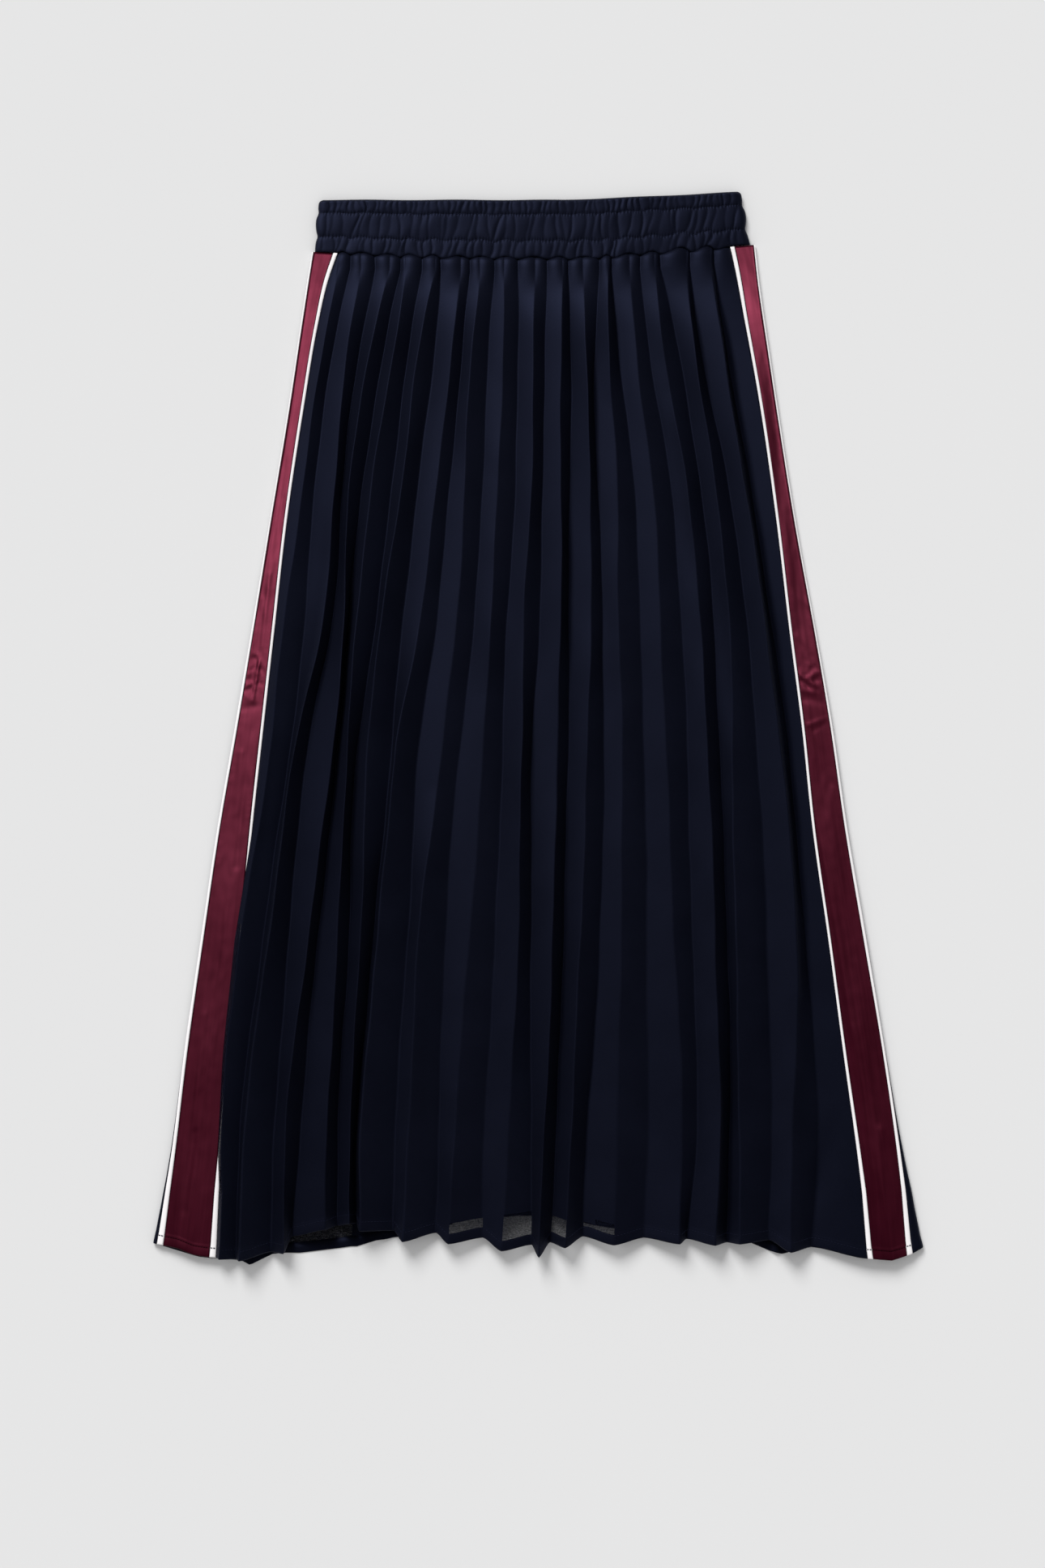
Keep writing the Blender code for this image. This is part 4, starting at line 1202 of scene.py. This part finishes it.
class SKIRT_OT_waistband(Step):
    """Gathers the waistband"""

    bl_idname = "skirt.waistband"
    bl_label = "Waistband"

    def execute(self, context):
        for half in ("front", "back"):
            front = half == "front"
            crepe, name = self.cloth_materials()[:1], f"waistband_{half}_cloth"
            piece = cloth_piece(name, band_points(front), self.sizes.crepe, crepe, faces_down=not front)
            dressed(piece, f"waistband_{half}")
        return {"FINISHED"}


NAVY_THREAD, WINE_THREAD = 5.0, 0.4  # the threads' colours, as shades of the cloth's
SATIN_THREAD, PIPING_THREAD = 1.7, 2.4  # how many times as thick the thread of those hems is
SIDE_PITCH = 0.8  # their stitches' pitch, as a part of the others'
STITCHED_COLUMNS = slice(20, -20)  # the waistband's columns, without its rounded ends
HEM_STITCH_HEIGHT = HEM_TURN - 1.0  # the hems are sewn just below this


def hem_row(rows):
    return next(j for j, row in enumerate(rows) if row.above is not None and row.above < HEM_STITCH_HEIGHT)


class SKIRT_OT_stitching(Step):
    """Sews the waistband's rows and the hems"""

    bl_idname = "skirt.stitching"
    bl_label = "Stitching"

    def execute(self, context):
        navy = finish("navy_thread", thread_look, shade(self.colours.navy, NAVY_THREAD))
        wine = finish("burgundy_thread", thread_look, shade(self.colours.burgundy, WINE_THREAD))
        points, downs = band_points(True), np.array(band_downs())
        run = []
        for place in STITCH_ROWS:
            run += self.row_run(points, np.argmin(np.abs(downs - place)), 1.0, STITCHED_COLUMNS)
        self.sew("waistband_stitches", run, navy)
        self.sew("front_hem_stitches", self.row_run(front_points(), hem_row(FRONT_ROWS), 1.0), navy)
        satin_run, piping_run = [], []
        for _, sign, puckers, phase in SIDES:
            satin_run += self.hem_run(SATIN_ROWS, sign, 1, SatinProfile(puckers, phase))
            for part in (0, 2):
                piping_run += self.hem_run(PIPING_ROWS, sign, part, PipingProfile())
        self.sew("stripe_hem_stitches", satin_run, wine, SATIN_THREAD)
        self.sew("piping_hem_stitches", piping_run, navy, PIPING_THREAD)
        return {"FINISHED"}

    def row_run(self, points, j, pitch, columns=slice(None)):
        """Stitches along row j of a grid of points."""
        grid = placed(points)
        path, normals = grid[j, columns], grid_normals(grid)[j, columns]
        return sewn_run(path, normals, pitch * self.sizes.stitch_pitch, self.sizes.stitch)

    def hem_run(self, rows, sign, part, profile):
        return self.row_run(side_points(sign, rows, part, profile), hem_row(rows), SIDE_PITCH)

    def sew(self, name, run, material, thickness=1.0):
        piece = stitching(name, run, self.sizes.stitch, thickness * self.sizes.thread, material)
        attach(piece, BODY)


PHOTO_PIXELS = (1290, 1935)
PIXEL = 0.68 * MM  # size of one of the photograph's pixels on the floor
PHOTO_MIDDLE = (-13.26, -46.92)  # the middle of its frame, in millimetres from the waist's centre line
SENSOR = 36.0
FLOOR_LEVEL = -0.0002  # in metres, just under the back's cloth
KEY_FROM, KEY_POWER, KEY_ANGLE = (-0.30, 0.76, 0.62), 2.46, 28.0  # the angle is in degrees
SheenLight = namedtuple("SheenLight", "name place size power")  # places in metres from the skirt's middle
CREPE_SHEEN = SheenLight("crepe_sheen", (-0.72, 0.98, 0.95), 0.45, 10.0)
LEFT_SHEEN = SheenLight("left_stripe_sheen", (-0.45, 0.38, 1.45), 0.50, 22.0)
RIGHT_SHEEN = SheenLight("right_stripe_sheen", (0.60, 0.70, 1.38), 0.66, 26.0)
AMBIENT = (0.51, 0.51, 0.513)
BACKDROP = (0.79, 0.79, 0.79)


class SKIRT_OT_stage(Step):
    """Sets out the floor, the light and the camera"""

    bl_idname = "skirt.stage"
    bl_label = "Stage"

    def execute(self, context):
        self.add_floor()
        self.add_key()
        stripes = [bpy.data.objects[f"stripe_{side}_satin"] for side, *_ in SIDES]
        others = [piece for piece in bpy.data.objects if "wall" in piece.modifiers and piece not in stripes]
        self.add_sheen_light(CREPE_SHEEN, others)
        self.add_sheen_light(LEFT_SHEEN, stripes[:1])
        self.add_sheen_light(RIGHT_SHEEN, stripes[1:])
        self.add_world()
        self.add_camera()
        context.scene.view_settings.view_transform = "Standard"
        return {"FINISHED"}

    def add_floor(self):
        plane = bmesh.new()
        bmesh.ops.create_grid(plane, x_segments=1, y_segments=1, size=self.sizes.floor / 2)
        bmesh.ops.translate(plane, verts=plane.verts, vec=(0.0, 0.0, FLOOR_LEVEL))
        mesh = mesh_from("floor", plane)
        mesh.materials.append(finish("pale_floor", floor_look, self.colours.floor))
        floor = added("floor", mesh)

    def add_light(self, name, kind, place, power):
        """A light that shines from a place at the skirt's middle."""
        light = added(name, bpy.data.lights.new(name, kind))
        light.rotation_euler = (-Vector(place)).to_track_quat("-Z", "Y").to_euler()
        light.data.energy = power
        return light

    def add_key(self):
        """A broad, even light from above the waistband and to the left of it."""
        light = self.add_light("key", "SUN", KEY_FROM, KEY_POWER)
        light.data.angle = math.radians(KEY_ANGLE)
        light.visible_glossy = False

    def add_sheen_light(self, made, pieces):
        """A light that only the gloss of some pieces answers, so that each cloth has its own sheen."""
        light = self.add_light(made.name, "AREA", made.place, made.power)
        light.data.shape = "DISK"
        light.data.size = made.size
        light.location = made.place
        light.visible_diffuse = False
        light.visible_camera = False
        lit = bpy.data.collections.new(made.name)
        for piece in pieces:
            lit.objects.link(piece)
        light.light_linking.receiver_collection = lit

    def add_world(self):
        """Soft light from all round, and the floor's own grey where the camera sees past the floor."""
        world = bpy.data.worlds.new("studio")
        world.cycles_visibility.glossy = False
        world.use_nodes = True
        tree = world.node_tree
        ambient = tree.nodes["Background"]
        fill(tree, ambient, {"Color": (*AMBIENT, 1.0)})
        backdrop = add_node(tree, "Background", {"Color": (*BACKDROP, 1.0)})
        seen = add_node(tree, "LightPath").outputs["Is Camera Ray"]
        mixed = add_node(tree, "MixShader", {0: seen, 1: ambient.outputs[0], 2: backdrop.outputs[0]})
        fill(tree, tree.nodes["World Output"], {"Surface": mixed.outputs[0]})
        bpy.context.scene.world = world

    def add_camera(self):
        lens = bpy.data.cameras.new("camera")
        camera = added("camera", lens)
        height = self.sizes.camera_height
        lens.sensor_width = SENSOR
        lens.lens = SENSOR * height / (PHOTO_PIXELS[1] * PIXEL)
        lens.clip_end = 100.0
        middle = placed((*PHOTO_MIDDLE, 0.0))
        camera.location = (middle[0], middle[1], height)
        bpy.context.scene.camera = camera


STEPS = (
    SKIRT_OT_back_panel,
    SKIRT_OT_front_panel,
    SKIRT_OT_side_stripes,
    SKIRT_OT_waistband,
    SKIRT_OT_stitching,
    SKIRT_OT_stage,
)


class SKIRT_PT_panel(bpy.types.Panel):
    """The steps of the skirt's making, in order"""

    bl_label = "Pleated maxi skirt"
    bl_idname = "SKIRT_PT_panel"
    bl_space_type = "VIEW_3D"
    bl_region_type = "UI"
    bl_category = "Skirt"

    def draw(self, context):
        for group in (context.scene.skirt_sizes, context.scene.skirt_colours):
            for name in group.__annotations__:
                self.layout.prop(group, name)
        for step in STEPS:
            self.layout.operator(step.bl_idname)


CLASSES = (SkirtSizes, SkirtColours, *STEPS, SKIRT_PT_panel)


def register():
    for cls in CLASSES:
        bpy.utils.register_class(cls)
    bpy.types.Scene.skirt_sizes = PointerProperty(type=SkirtSizes)
    bpy.types.Scene.skirt_colours = PointerProperty(type=SkirtColours)


def unregister():
    del bpy.types.Scene.skirt_colours
    del bpy.types.Scene.skirt_sizes
    for cls in reversed(CLASSES):
        bpy.utils.unregister_class(cls)


def main():
    register()
    for step in STEPS:
        group, name = step.bl_idname.split(".")
        getattr(getattr(bpy.ops, group), name)()


if __name__ == "__main__":
    main()
